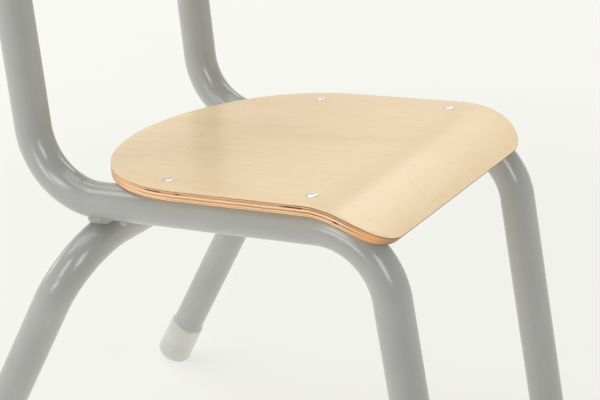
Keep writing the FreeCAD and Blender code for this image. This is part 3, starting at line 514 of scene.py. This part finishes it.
def rear_corners():
    """The four corners of the rear leg frame, on its centre line."""
    back = REAR_BOX[0].y + TUBE_RADIUS
    up = REAR_BOX[1].z - TUBE_RADIUS
    lean = math.acos(math.cos(REAR_LEG_LEAN) * math.cos(REAR_LEG_SPLAY))
    drop = up - REAR_BOX[0].z - TUBE_RADIUS * math.sin(lean)
    length = drop / math.cos(REAR_LEG_LEAN)
    out = REAR_CORNER_OUT + length * math.tan(REAR_LEG_SPLAY)
    foot_back = back + length * math.sin(REAR_LEG_LEAN)
    return (
        Vector((-out, foot_back, up - drop)),
        Vector((-REAR_CORNER_OUT, back, up)),
        Vector((REAR_CORNER_OUT, back, up)),
        Vector((out, foot_back, up - drop)),
    )


def make_tube(name, corners, node):
    """A bent tube with a real wall. Even normals keep its gloss free of false streaks."""
    mesh = grow(TUBE_TREE, corners, [(0, 1), (1, 2), (2, 3)], Bend_Radius=BEND_RADIUS,
                Tube_Radius=TUBE_RADIUS, Steps=40, Sides=96, Finish=COAT)
    tube = add_piece(name, mesh, "powder_coat", node)
    wall = tube.modifiers.new("wall", "SOLIDIFY")
    wall.thickness = TUBE_WALL
    wall.offset = -1
    even = tube.modifiers.new("even_normals", "WEIGHTED_NORMAL")
    even.mode = "FACE_AREA"


def make_frame():
    """Both side tubes and the rear leg frame. The cross tube keeps the mesh of its solid."""
    for side, sign in SIDES:
        make_tube("bent_side_tube_" + side, side_corners(sign), "side_tube_" + side)
    make_tube("bent_rear_leg_frame", rear_corners(), "rear_leg_frame")
    repaint("front_cross_tube", COAT)


# Welds

def surface_tree(node):
    """The surface of a solid, to cast rays on."""
    mesh = NODES[node].data
    return BVHTree.FromPolygons([vertex.co for vertex in mesh.vertices],
                                [polygon.vertices for polygon in mesh.polygons])


def ring_edges(count):
    """Each point of a closed ring and the one after it."""
    return [(number, (number + 1) % count) for number in range(count)]


def make_bead(name, node, points, edges, sizes, ripple, seed):
    mesh = grow(BEAD_TREE, points, edges, {"bead_size": ("FLOAT", sizes)},
                Pitch=0.8 * MM, Ripple=ripple, Grain=0.3 * MM, Seed=seed, Finish=COAT)
    add_piece(name, mesh, "powder_coat", node)


REAR_WELD_SETBACK = 0.9 * MM
REAR_WELD_REACH = 5.4 * MM
REAR_WELD_SINK = 0.3 * MM
REAR_WELD_OVERLAP = 2.4 * MM
TACK_ENDS = ((3 * MM, -19 * MM), (3 * MM, -20.5 * MM))
TACK_SEARCH_FROM = 2 * MM
TACK_SINK = 1.5 * MM
TACK_SIZE = 2.3 * MM


def make_rear_weld(side, sign):
    """Bead all round the place where a rail crosses the rear leg frame, and a tack in front of
    it, under the rail."""
    node = "rear_weld_" + side
    low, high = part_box(node)
    middle = (low + high) / 2 + Vector((0, REAR_WELD_SETBACK, 0))
    rail = surface_tree("side_tube_" + side)
    frame_tube = surface_tree("rear_leg_frame")
    upward = Vector((0, 0, 1))
    steps = 72
    points = []
    sizes = []
    for step in range(steps):
        angle = math.tau * step / steps
        spot = middle + REAR_WELD_REACH * Vector((math.cos(angle), math.sin(angle), 0))
        above = rail.ray_cast(spot, upward)[0]
        below = frame_tube.ray_cast(spot, -upward)[0]
        if above is None or below is None:
            continue
        points.append((above + below) / 2 - REAR_WELD_SINK * upward)
        sizes.append((above.z - below.z) / 2 + REAR_WELD_OVERLAP)
    edges = ring_edges(len(points))
    for aside, back in TACK_ENDS:
        spot = middle + Vector((sign * aside, back, -TACK_SEARCH_FROM))
        points.append(rail.ray_cast(spot, upward)[0] - TACK_SINK * upward)
        sizes.append(TACK_SIZE)
    edges.append((len(points) - 2, len(points) - 1))
    make_bead("weld_bead_rear_" + side, node, points, edges, sizes, ripple=0.1, seed=3 + sign)


CROSS_WELD_SIZE = 1.9 * MM


def make_cross_weld(side, sign):
    """Bead round one end of the cross tube, on the surface of the rail."""
    start = FRONT_CORNER + RAIL_TURN @ Vector((0, FRONT_BEND_REACH + BRACE_SETBACK, 0))
    ring = BRACE_RADIUS + 0.45 * CROSS_WELD_SIZE
    rail_skin = TUBE_RADIUS + 0.25 * CROSS_WELD_SIZE
    steps = 64
    points = []
    for step in range(steps):
        angle = math.tau * step / steps
        back = ring * math.cos(angle)
        up = ring * math.sin(angle)
        aside = HALF_SPACING - math.sqrt(rail_skin ** 2 - up ** 2)
        points.append(start + RAIL_TURN @ Vector((sign * aside, back, up)))
    make_bead("weld_bead_cross_" + side, "cross_weld_" + side, points, ring_edges(steps),
              [CROSS_WELD_SIZE] * steps, ripple=0.14, seed=9 + sign)


# The boards

def arc(centre, radius, start, end, step):
    """Points along an arc, without its last one. Angles from the X axis."""
    count = max(2, round(abs(end - start) * radius / step))
    spots = []
    for number in range(count):
        angle = start + (end - start) * number / count
        spots.append((centre[0] + radius * math.cos(angle), centre[1] + radius * math.sin(angle)))
    return spots


def run(start, end, step):
    """Points along a straight line, without its last one."""
    length = math.dist(start, end)
    count = max(1, round(length / step))
    return [(start[0] + (end[0] - start[0]) * number / count,
             start[1] + (end[1] - start[1]) * number / count) for number in range(count)]


RIM_STEP = 1.1 * MM
ARRIS_TURNS = 4
FACE_STEP = 6 * MM
SEAT_TOP_RADIUS = TUBE_RADIUS + BEND_RADIUS + PLY


def front_corner_along(back):
    """Where a point of a front corner lies along the seat. The corner is cut square to the board
    at its front edge, and back is how far behind that edge the cut is there."""
    return -SEAT_TOP_RADIUS * (SEAT_BEND - math.asin(back / SEAT_TOP_RADIUS))


def seat_outline():
    """The seat's outline, laid flat: (across, along) with along 0 where the bend starts."""
    half = SEAT_HALF_WIDTH
    corner = SEAT_REAR_CORNER
    bow = (half ** 2 + SEAT_REAR_BOW ** 2) / (2 * SEAT_REAR_BOW)
    bow_centre = SEAT_FLAT - bow
    corner_back = bow_centre + math.sqrt((bow - corner) ** 2 - (half - corner) ** 2)
    meeting = math.atan2(half - corner, corner_back - bow_centre)
    front = SEAT_FRONT_CORNER
    front_edge = -SEAT_TOP_RADIUS * SEAT_BEND
    corner_start = front_corner_along(front)
    quarter = math.pi / 2
    left_corner = [(across, front_corner_along(back))
                   for across, back in arc((half - front, front), front, -quarter, 0, RIM_STEP)]
    right_corner = [(-across, along) for across, along in reversed(left_corner[1:])]
    return (
        run((-(half - front), front_edge), (half - front, front_edge), RIM_STEP)
        + left_corner
        + run((half, corner_start), (half, corner_back), RIM_STEP)
        + arc((half - corner, corner_back), corner, 0, quarter - meeting, RIM_STEP)
        + arc((0, bow_centre), bow, quarter - meeting, quarter + meeting, RIM_STEP)
        + arc((corner - half, corner_back), corner, quarter + meeting, math.pi, RIM_STEP)
        + run((-half, corner_back), (-half, corner_start), RIM_STEP)
        + [(-half, corner_start)]
        + right_corner
    )


def seat_place():
    """The seat's own frame: origin on the rails where the front bend starts."""
    origin = FRONT_CORNER + RAIL_TURN @ Vector((0, FRONT_BEND_REACH, TUBE_RADIUS))
    return Matrix.LocRotScale(origin, RAIL_TURN, None)


def back_place():
    """The back's own frame: half way between the uprights, +Z along them."""
    top = side_corners(1)[3]
    turn = Quaternion((1, 0, 0), -UPRIGHT_LEAN)
    rise = (BACK_ABOVE_TUBE - BACK_HALF_HEIGHT) * math.cos(UPRIGHT_LEAN)
    origin = Vector((0, top.y + rise * math.tan(UPRIGHT_LEAN), top.z + rise))
    return Matrix.LocRotScale(origin, turn, None)


SEAT_PLACE = seat_place()
BACK_PLACE = back_place()
BACK_CENTRE = -math.sqrt((BACK_RADIUS + PLY + TUBE_RADIUS) ** 2 - HALF_SPACING ** 2)


def seat_point(across, along, depth):
    """A point of the seat board, from its place on the top face and its depth under it."""
    if along >= 0:
        return SEAT_PLACE @ Vector((across, along, PLY - depth))
    angle = -along / SEAT_TOP_RADIUS
    radius = SEAT_TOP_RADIUS - depth
    up = PLY - SEAT_TOP_RADIUS + radius * math.cos(angle)
    return SEAT_PLACE @ Vector((across, -radius * math.sin(angle), up))


def back_outline():
    """The back's outline, laid flat on its front face: (across, up)."""
    wide = BACK_RADIUS * math.asin(BACK_HALF_WIDTH / (BACK_RADIUS + PLY)) - BACK_CORNER
    tall = BACK_HALF_HEIGHT - BACK_CORNER
    quarter = math.pi / 2
    centres = ((wide, -tall), (wide, tall), (-wide, tall), (-wide, -tall))
    spots = []
    for number, centre in enumerate(centres):
        following = centres[(number + 1) % 4]
        start = (number - 1) * quarter
        spots += arc(centre, BACK_CORNER, start, start + quarter, RIM_STEP)
        out_x = BACK_CORNER * math.cos(start + quarter)
        out_y = BACK_CORNER * math.sin(start + quarter)
        spots += run((centre[0] + out_x, centre[1] + out_y),
                     (following[0] + out_x, following[1] + out_y), RIM_STEP)
    return spots


def back_point(across, up, depth):
    """A point of the back, from its place on the front face and its depth behind it."""
    angle = across / BACK_RADIUS
    radius = BACK_RADIUS + depth
    back = BACK_CENTRE + radius * math.cos(angle)
    return BACK_PLACE @ Vector((radius * math.sin(angle), back, up))


def rim_levels():
    """Down the edge of a board: (depth, inset) through both rounded arrises and every ply."""
    levels = []
    for number in range(ARRIS_TURNS):
        angle = math.pi / 2 * number / ARRIS_TURNS
        levels.append((ARRIS * (1 - math.cos(angle)), ARRIS * (1 - math.sin(angle))))
    top = 0.0
    for thickness, kind in PLIES:
        bottom = top + thickness * MM
        for share in (0.06, 0.35, 0.65, 0.94):
            depth = top + (bottom - top) * share
            if ARRIS < depth < PLY - ARRIS:
                levels.append((depth, 0.0))
        top = bottom
    return levels + [(PLY - depth, inset) for depth, inset in reversed(levels[:ARRIS_TURNS])]


def ply_at(depth):
    """The kind of ply at a depth."""
    bottom = 0.0
    for thickness, kind in PLIES:
        bottom += thickness * MM
        if depth < bottom:
            return kind
    return PLIES[-1][1]


def inward(outline):
    """The unit vector into the board at each point of its outline."""
    ways = []
    for number, spot in enumerate(outline):
        before = outline[number - 1]
        after = outline[(number + 1) % len(outline)]
        way = Vector((after[0] - before[0], after[1] - before[1])).normalized()
        ways.append((-way.y, way.x))
    return ways


def smooth_step(low, high, number):
    share = min(max((number - low) / (high - low), 0.0), 1.0)
    return share * share * (3 - 2 * share)


# What the saw and the sander left of the edge, and how far its plies and glue lines stand in

EDGE_WANDER = 0.05 * MM
PLY_SUNK = {"cross": 0.05 * MM, "glue": 0.07 * MM}
VOID_DEPTH = 1.3 * MM
VOID_HALF_HEIGHT = 0.5 * MM


def void_share(voids, across, along, way, depth):
    """How far a point of the edge lies in an open void, from 0 to 1. Voids lie where the edge
    faces sideways: (which side, place along it, half length, depth of the ply)."""
    share = 0.0
    for sign, place, half_length, void_depth in voids:
        if across * sign < 0 or abs(way[0]) < 0.7:
            continue
        length_share = abs(along - place) / half_length
        height_share = abs(depth - void_depth) / VOID_HALF_HEIGHT
        share = max(share, (1 - smooth_step(0.55, 1.0, length_share))
                    * (1 - smooth_step(0.5, 1.0, height_share)))
    return share


def sunk_at(depth, length, seed):
    """How far the edge stands in at a depth, at a length along it."""
    wander = EDGE_WANDER * noise.noise(Vector((length * 260, depth * 900, seed)))
    clear_of_arris = smooth_step(0, ARRIS, min(depth, PLY - depth))
    return clear_of_arris * max(wander + PLY_SUNK.get(ply_at(depth), 0.0), 0.0)


def fill_ring(ring):
    """Even triangles inside a closed ring: the points, the number in the ring of each point
    that is one of its own, or None, and the triangles."""
    count = len(ring)
    inner = [Vector(spot) for spot in inside_grid(ring, FACE_STEP)]
    points, _, triangles, origin, _, _ = geometry.delaunay_2d_cdt(
        ring + inner, ring_edges(count), [], 1, 1e-7)
    own = [next((source for source in sources if source < count), None) for sources in origin]
    return points, own, triangles


def nowhere(along):
    """A mark that the edge has nowhere along it."""
    return 0.0


def make_board(name, node, outline, put, face, grain_axis, seed, voids,
               front_tint_and_shade=nowhere, plain=nowhere):
    """A plywood board with rounded arrises, plies that stand out and in at its edge, and open
    voids there. The outline is laid flat, and put gives the place of a point of the board. The
    marks on its points are what the finish of the edge reads."""
    ways = inward(outline)
    levels = rim_levels()
    lengths = [0.0]
    for before, after in zip(outline, outline[1:]):
        lengths.append(lengths[-1] + math.dist(before, after))
    vertices = []
    marks = {"ply_depth": [], "rim_length": [], "end_grain": [], "front_tint_and_shade": [], "plain": [],
             "void": []}
    for depth, inset in levels:
        for (across, along), way, length in zip(outline, ways, lengths):
            void = void_share(voids, across, along, way, depth)
            move = inset + sunk_at(depth, length, seed) + VOID_DEPTH * void
            vertices.append(put(across + way[0] * move, along + way[1] * move, depth))
            with_grain = abs(way[1 - grain_axis])
            marks["ply_depth"].append(depth / PLY)
            marks["rim_length"].append(length)
            marks["end_grain"].append(1 - smooth_step(0.25, 0.85, with_grain))
            marks["front_tint_and_shade"].append(front_tint_and_shade(along))
            marks["plain"].append(plain(along))
            marks["void"].append(void)
    count = len(outline)
    faces = []
    for level in range(len(levels) - 1):
        upper = level * count
        lower = upper + count
        for number, after in ring_edges(count):
            faces.append((upper + number, lower + number, lower + after, upper + after))
    edge_faces = range(count, len(faces))
    inset = levels[0][1]
    points, own, triangles = fill_ring([
        Vector((spot[0] + way[0] * inset, spot[1] + way[1] * inset))
        for spot, way in zip(outline, ways)])
    for depth, first in ((0.0, 0), (PLY, (len(levels) - 1) * count)):
        index = []
        for point, number in zip(points, own):
            if number is not None:
                index.append(first + number)
                continue
            index.append(len(vertices))
            vertices.append(put(point.x, point.y, depth))
            for mark in marks.values():
                mark.append(0.0)
        for triangle in triangles:
            corners = [index[corner] for corner in triangle]
            faces.append(corners if depth == 0.0 else corners[::-1])
    mesh = bpy.data.meshes.new(name)
    mesh.from_pydata(vertices, [], faces)
    for mark, numbers in marks.items():
        layer = mesh.attributes.new(mark, "FLOAT", "POINT")
        layer.data.foreach_set("value", numbers)
    mesh.materials.append(face)
    mesh.materials.append(PLY_EDGE)
    for number, polygon in enumerate(mesh.polygons):
        polygon.use_smooth = True
        # The first row of the edge is the upper arris, where the skin still shows
        polygon.material_index = 1 if number in edge_faces else 0
    work = bmesh.new()
    work.from_mesh(mesh)
    bmesh.ops.recalc_face_normals(work, faces=work.faces)
    work.to_mesh(mesh)
    work.free()
    add_piece(name, mesh, "plywood", node)


def inside_grid(ring, step):
    """Evenly spaced points inside a closed ring, clear of it by half a step."""
    low_x = min(spot.x for spot in ring)
    high_x = max(spot.x for spot in ring)
    low_y = min(spot.y for spot in ring)
    high_y = max(spot.y for spot in ring)
    spots = []
    for row in range(1, math.ceil((high_y - low_y) / step)):
        y = low_y + row * step
        crossings = []
        for start, end in zip(ring, ring[1:] + ring[:1]):
            if (start.y > y) != (end.y > y):
                crossings.append(start.x + (end.x - start.x) * (y - start.y) / (end.y - start.y))
        if len(crossings) != 2:
            continue
        left, right = min(crossings), max(crossings)
        for column in range(1, math.ceil((high_x - low_x) / step)):
            x = low_x + (column + 0.5 * (row % 2)) * step
            if left + step / 2 < x < right - step / 2 and low_y + step / 2 < y < high_y - step / 2:
                spots.append((x, y))
    return spots


def make_seat():
    """The seat. The low front corners of its edge are tinted orange along the grain. Across the
    grain, on the front edge, they are painted dark as the shade of that edge. The plies show less
    towards the back, where the edge is plain."""
    upper_ply = 1.9 * MM
    lower_ply = 4.1 * MM
    voids = (
        (-1, 6 * MM, 9 * MM, upper_ply),
        (-1, 88.5 * MM, 2 * MM, upper_ply),
        (-1, 108 * MM, 8 * MM, upper_ply),
        (-1, -26 * MM, 2.5 * MM, lower_ply),
        (1, 52 * MM, 5 * MM, lower_ply),
        (1, -12 * MM, 3 * MM, upper_ply),
    )

    # Where the front edge takes its orange tint and, across the grain, its painted shade.
    def front_tint_and_shade(along):
        return smooth_step(-28 * MM, -50 * MM, along)

    def plain(along):
        return (0.35 * smooth_step(-10 * MM, 15 * MM, along)
                + 0.65 * smooth_step(112 * MM, 138 * MM, along))

    make_board("seat_board", "seat_panel", seat_outline(), seat_point, SEAT_FACE,
               grain_axis=1, seed=1.5, voids=voids, front_tint_and_shade=front_tint_and_shade, plain=plain)


def make_back():
    voids = (
        (-1, 20 * MM, 4 * MM, 1.7 * MM),
        (1, -8 * MM, 3 * MM, 4.1 * MM),
    )
    make_board("back_board", "backrest_panel", back_outline(), back_point, BACK_FACE,
               grain_axis=0, seed=7.5, voids=voids)


# Turned pieces

SHARP_ANGLE = math.radians(35)


def turned(name, profile, sides):
    """A mesh turned about the Z axis from (radius, height) points. A profile that doesn't start
    on the axis is closed back to its first point."""
    work = bmesh.new()
    rings = []
    for radius, height in profile:
        if radius < 1e-7:
            rings.append([work.verts.new((0, 0, height))])
            continue
        rings.append([work.verts.new((radius * math.cos(math.tau * side / sides),
                                      radius * math.sin(math.tau * side / sides), height))
                      for side in range(sides)])
    pairs = list(zip(rings, rings[1:]))
    if len(rings[0]) > 1:
        pairs.append((rings[-1], rings[0]))
    for lower, upper in pairs:
        for side in range(sides):
            after = (side + 1) % sides
            corners = [lower[side % len(lower)], lower[after % len(lower)],
                       upper[after % len(upper)], upper[side % len(upper)]]
            unique = [corner for number, corner in enumerate(corners)
                      if corner not in corners[:number]]
            if len(unique) > 2:
                work.faces.new(unique)
    bmesh.ops.recalc_face_normals(work, faces=work.faces)
    mesh = bpy.data.meshes.new(name)
    work.to_mesh(mesh)
    work.free()
    for polygon in mesh.polygons:
        polygon.use_smooth = True
    mesh.set_sharp_from_angle(angle=SHARP_ANGLE)
    return mesh


RIVET_SHANK = 2 * MM
RIVET_HEAD = 4 * MM
RIVET_DOME = 1.3 * MM
RIVET_RIM = 0.35 * MM
RIVET_BULB = 3 * MM
RIVET_BULB_TOP = 8.95 * MM
RIVET_BULB_END = 12.45 * MM
MANDREL_RADIUS = 1.1 * MM


def rivet_profile():
    """Half section of a set blind rivet, from its bore round under the head and back."""
    rise = RIVET_DOME - RIVET_RIM
    sphere = (RIVET_HEAD ** 2 + rise ** 2) / (2 * rise)
    bulb_edge = 0.5 * MM
    rim_edge = 0.1 * MM
    dome_edge = 0.06 * MM
    bore_lip = 0.35 * MM
    points = [
        (MANDREL_RADIUS, -RIVET_BULB_END),
        (RIVET_BULB - bulb_edge, -RIVET_BULB_END),
        (RIVET_BULB, -RIVET_BULB_END + bulb_edge),
        (RIVET_BULB, -RIVET_BULB_TOP - 0.3 * MM),
        (RIVET_SHANK, -RIVET_BULB_TOP + 0.4 * MM),
        (RIVET_SHANK, 0),
        (RIVET_HEAD - 2 * dome_edge, 0),
        (RIVET_HEAD, rim_edge),
        (RIVET_HEAD, RIVET_RIM - rim_edge),
    ]
    steps = 12
    for number in range(steps + 1):
        radius = RIVET_HEAD - dome_edge - (RIVET_HEAD - MANDREL_RADIUS - bore_lip) * number / steps
        points.append((radius, RIVET_DOME - sphere + math.sqrt(sphere ** 2 - radius ** 2)))
    lip_height = points[-1][1]
    points.append((MANDREL_RADIUS + 0.05 * MM, lip_height - 0.12 * MM))
    points.append((MANDREL_RADIUS, lip_height - 0.3 * MM))
    return points


def mandrel_profile():
    """Half section of the stem that stays in a set rivet, torn off a little below its head."""
    head = 1.75 * MM
    head_end = -RIVET_BULB_END - 1.4 * MM
    return [
        (0, head_end),
        (head * 0.8, head_end),
        (head, head_end + 0.2 * MM),
        (head, -RIVET_BULB_END),
        (MANDREL_RADIUS, -RIVET_BULB_END),
        (MANDREL_RADIUS, -0.7 * MM),
        (MANDREL_RADIUS * 0.6, -0.45 * MM),
        (MANDREL_RADIUS * 0.3, -0.6 * MM),
        (0, -0.5 * MM),
    ]


def seat_rivets():
    """The seat's rivets: (point under the head, way out of the head, row, side)."""
    outward = RAIL_TURN @ Vector((0, 0, 1))
    spots = []
    for side, sign in SIDES:
        for row, along in (("front", SEAT_RIVET_START),
                           ("rear", SEAT_RIVET_START + SEAT_RIVET_PITCH)):
            spots.append((seat_point(sign * HALF_SPACING, along, 0), outward, row, side))
    return spots


def back_rivets():
    """The back's rivets, as for the seat. Their heads rest on the hollow front face by their
    rims, so they stand off its middle."""
    angle = math.asin(HALF_SPACING / (BACK_RADIUS + PLY + TUBE_RADIUS))
    lift = BACK_RADIUS - math.sqrt(BACK_RADIUS ** 2 - RIVET_HEAD ** 2)
    spots = []
    for side, sign in SIDES:
        outward = Vector((-sign * math.sin(angle), -math.cos(angle), 0))
        outward = BACK_PLACE.to_quaternion() @ outward
        for row, up in (("upper", BACK_RIVET_PITCH / 2), ("lower", -BACK_RIVET_PITCH / 2)):
            point = back_point(sign * angle * BACK_RADIUS, up, -lift)
            spots.append((point, outward, row, side))
    return spots


def make_rivets():
    forms = (
        ("rivets", "rivet_aluminium", ALUMINIUM, rivet_profile(), "rivet"),
        ("rivet_mandrels", "mandrel_steel", MANDREL, mandrel_profile(), "rivet_mandrel"),
    )
    for name, slot, finish, profile, node in forms:
        form = bpy.data.objects.new("form", turned(name + "_form", profile, sides=48))
        SCENE.collection.objects.link(form)
        for board, spots in (("seat", seat_rivets()), ("back", back_rivets())):
            mesh = grow(FASTENER_TREE, [spot[0] for spot in spots],
                        attributes={"outward": ("FLOAT_VECTOR", [spot[1] for spot in spots])},
                        Form=form, Seed=5, Finish=finish)
            replaced = ["_".join((board, node, row, side)) for _, _, row, side in spots]
            add_piece(board + "_" + name, mesh, slot, *replaced)
        bpy.data.objects.remove(form)


CAP_RADIUS = 14.3 * MM
CAP_MOUTH_RADIUS = 13.8 * MM
CAP_BORE = 12.55 * MM
CAP_MOUTH_UP = 34 * MM
CAP_SOLE = 4 * MM
CAP_ROUND = 5 * MM
CAP_ROUND_STEP = 0.65 * MM
CAP_ASKEW = 0.7 * MM


def cap_profile():
    """Half section of a sleeve cap: sole, rounded bottom, tapered wall, a rim that slopes in to
    the tube and runs up onto it, and the bore."""
    lip = 1.1 * MM
    bite = 0.3 * MM
    start = CAP_ROUND - CAP_SOLE
    points = [(0, -CAP_SOLE), ((CAP_RADIUS - CAP_ROUND) / 2, -CAP_SOLE)]
    points += arc((CAP_RADIUS - CAP_ROUND, start), CAP_ROUND, -math.pi / 2, 0, CAP_ROUND_STEP)
    steps = 16
    for number in range(steps):
        share = number / steps
        points.append((CAP_RADIUS + (CAP_MOUTH_RADIUS - CAP_RADIUS) * share,
                       start + (CAP_MOUTH_UP - lip - start) * share))
    points += [
        (CAP_MOUTH_RADIUS, CAP_MOUTH_UP - lip),
        (CAP_MOUTH_RADIUS - 0.15 * MM, CAP_MOUTH_UP - 0.7 * MM),
        (TUBE_RADIUS + 0.4 * MM, CAP_MOUTH_UP - 0.1 * MM),
        (TUBE_RADIUS, CAP_MOUTH_UP + 0.6 * MM),
        (TUBE_RADIUS - bite, CAP_MOUTH_UP + 0.8 * MM),
        (TUBE_RADIUS - bite, CAP_MOUTH_UP - bite),
    ]
    for number in range(1, steps):
        points.append((CAP_BORE, CAP_MOUTH_UP * (1 - number / steps)))
    return points + [(CAP_BORE, 0), (CAP_BORE / 2, 0), (0, 0)]


def make_caps():
    """Each cap on its leg. Its rim is cut a little askew, highest at a heading round the leg, and
    its sole lies flat on the floor."""
    ends = []
    for side, sign in SIDES:
        foot, knee = side_corners(sign)[:2]
        ends.append(("front_" + side, foot, knee, 0.4 + sign))
    corners = rear_corners()
    ends.append(("rear_right", corners[0], corners[1], 2.2))
    ends.append(("rear_left", corners[3], corners[2], -2.2))
    for name, foot, knee, heading in ends:
        mesh = turned("sleeve_cap_" + name, cap_profile(), sides=96)
        mesh.materials.append(CAP_PLASTIC)
        turn = (knee - foot).to_track_quat("Z", "Y")
        for vertex in mesh.vertices:
            local = vertex.co
            if local.z > 0:
                angle = math.atan2(local.y, local.x)
                wave = math.cos(angle - heading) + 0.3 * math.cos(3 * angle + heading) - 1.0
                local.z += CAP_ASKEW * wave * (local.z / CAP_MOUTH_UP) ** 3
            world = foot + turn @ local
            world.z = max(world.z, 0.0)
            vertex.co = world
        add_piece("sleeve_cap_" + name, mesh, "cap_plastic", "foot_cap_" + name)


# Surroundings

def make_floor():
    """A wide floor that glows and lights the chair from below, as a lit table would. What the
    camera and reflections see of it is near white, with painted shade that darkens it towards the
    chair, and it still holds the shadow."""
    finish = Finish("pale_floor", Roughness=0.9, Base_Color=srgb(190, 190, 187),
                    Emission_Color=srgb(255, 255, 252), Emission_Strength=0.8)
    faint = finish.add("ShaderNodeBsdfDiffuse", {"Color": srgb(142, 142, 140)})
    distance = finish.add("ShaderNodeVectorMath", {0: finish.place()}, operation="LENGTH")
    # Painted shade: what the camera sees of the floor grows darker towards the chair.
    shade_near_chair = finish.ramp(finish.stretch(distance.outputs["Value"], 0.1, 1.9), (
        (0.0, srgb(211, 211, 207)), (0.35, srgb(213, 213, 208)),
        (0.6, srgb(222, 222, 217)), (1.0, srgb(229, 229, 223))))
    glow = finish.add("ShaderNodeEmission", {"Color": shade_near_chair})
    both = finish.add("ShaderNodeAddShader", {0: faint.outputs[0], 1: glow.outputs[0]})
    chosen = finish.add("ShaderNodeMixShader", {
        0: finish.seen(), 1: finish.shader.outputs[0], 2: both.outputs[0]})
    finish.tree.links.new(chosen.outputs[0], finish.output.inputs[0])
    half = 30.0
    mesh = bpy.data.meshes.new("studio_floor")
    mesh.from_pydata([(-half, -half, 0), (half, -half, 0), (half, half, 0), (-half, half, 0)],
                     [], [(0, 1, 2, 3)])
    mesh.materials.append(finish.material)
    floor = bpy.data.objects.new("studio_floor", mesh)
    SCENE.collection.objects.link(floor)


def make_world():
    """Even white surroundings, which the camera and reflections see as the pale backdrop."""
    world = bpy.data.worlds.new("studio")
    SCENE.world = world
    world.use_nodes = True
    world.node_tree.nodes.clear()
    graph = Graph(world.node_tree)
    lit = graph.add("ShaderNodeBackground", {"Color": srgb(255, 255, 253), "Strength": 0.31})
    backdrop = graph.add("ShaderNodeBackground", {"Color": srgb(248, 249, 245), "Strength": 1.0})
    both = graph.add("ShaderNodeMixShader", {
        0: graph.seen(), 1: lit.outputs[0], 2: backdrop.outputs[0]})
    graph.add("ShaderNodeOutputWorld", {"Surface": both.outputs[0]})


def direction(azimuth, elevation):
    """The way out from the chair, from degrees. Azimuth 0 is its front, and turns to its left."""
    turn = math.radians(azimuth)
    rise = math.radians(elevation)
    return Vector((math.sin(turn) * math.cos(rise), -math.cos(turn) * math.cos(rise),
                   math.sin(rise)))


def add_facing(name, data, place, outward):
    """Adds a lamp or the camera at a place, looking back along the way out from the chair."""
    holder = bpy.data.objects.new(name, data)
    holder.location = place
    holder.rotation_mode = "QUATERNION"
    holder.rotation_quaternion = outward.to_track_quat("Z", "Y")
    SCENE.collection.objects.link(holder)
    return holder


LAMPS_AIM = Vector((0, 0, 0.2))
PANEL_DISTANCE = 2.2


def add_softbox(name, azimuth, elevation, distance, width, height, power):
    """A soft lamp that looks at the chair."""
    lamp = bpy.data.lights.new(name, "AREA")
    lamp.shape = "RECTANGLE"
    lamp.size = width
    lamp.size_y = height
    lamp.energy = power
    outward = direction(azimuth, elevation)
    return add_facing(name, lamp, LAMPS_AIM + outward * distance, outward)


def make_lights():
    """Soft light from above, three low lamps that the gloss doesn't show, and panels round the
    chair that only the gloss shows."""
    add_softbox("overhead", 178, 75, distance=2.2, width=2.3, height=2.3, power=32.5)
    for name, azimuth, elevation, distance, power in (
            ("side", -130, 10, 2.4, 18),
            ("fill", 20, 5, 2.4, 15.5),
            ("rear", -165, 14, 1.2, 2.2)):
        lamp = add_softbox(name, azimuth, elevation, distance, width=1.4, height=1.0, power=power)
        lamp.visible_glossy = False
    for name, azimuth, elevation, width, height, power in (
            ("panel_front", -45, 22.5, 0.7, 0.9, 11),
            ("panel_right", -98, 29, 0.65, 0.95, 10),
            ("panel_low", -99, 6, 0.8, 0.4, 6),
            ("panel_left", 80, 38, 1.4, 0.5, 8),
            ("panel_back", 178, 14, 0.7, 0.6, 3.4),
            ("panel_top", -151, 47, 0.5, 0.5, 1.8)):
        panel = add_softbox(name, azimuth, elevation, PANEL_DISTANCE, width, height, power)
        panel.visible_diffuse = False


CAMERA_AT = Vector((-908.19, -505.11, 599.88)) * MM
CAMERA_AZIMUTH = -61.832
CAMERA_ELEVATION = 19.85
LENS = 93.685


def make_camera():
    data = bpy.data.cameras.new("camera")
    data.lens = LENS
    data.sensor_width = 36
    outward = direction(CAMERA_AZIMUTH, CAMERA_ELEVATION)
    SCENE.camera = add_facing("camera", data, CAMERA_AT, outward)


make_camera()
make_world()
make_lights()
make_floor()
make_frame()
for side, sign in SIDES:
    make_rear_weld(side, sign)
    make_cross_weld(side, sign)
    repaint("upright_plug_" + side, PLUG_PLASTIC)
make_seat()
make_back()
make_rivets()
make_caps()
SCENE.view_settings.view_transform = "Standard"
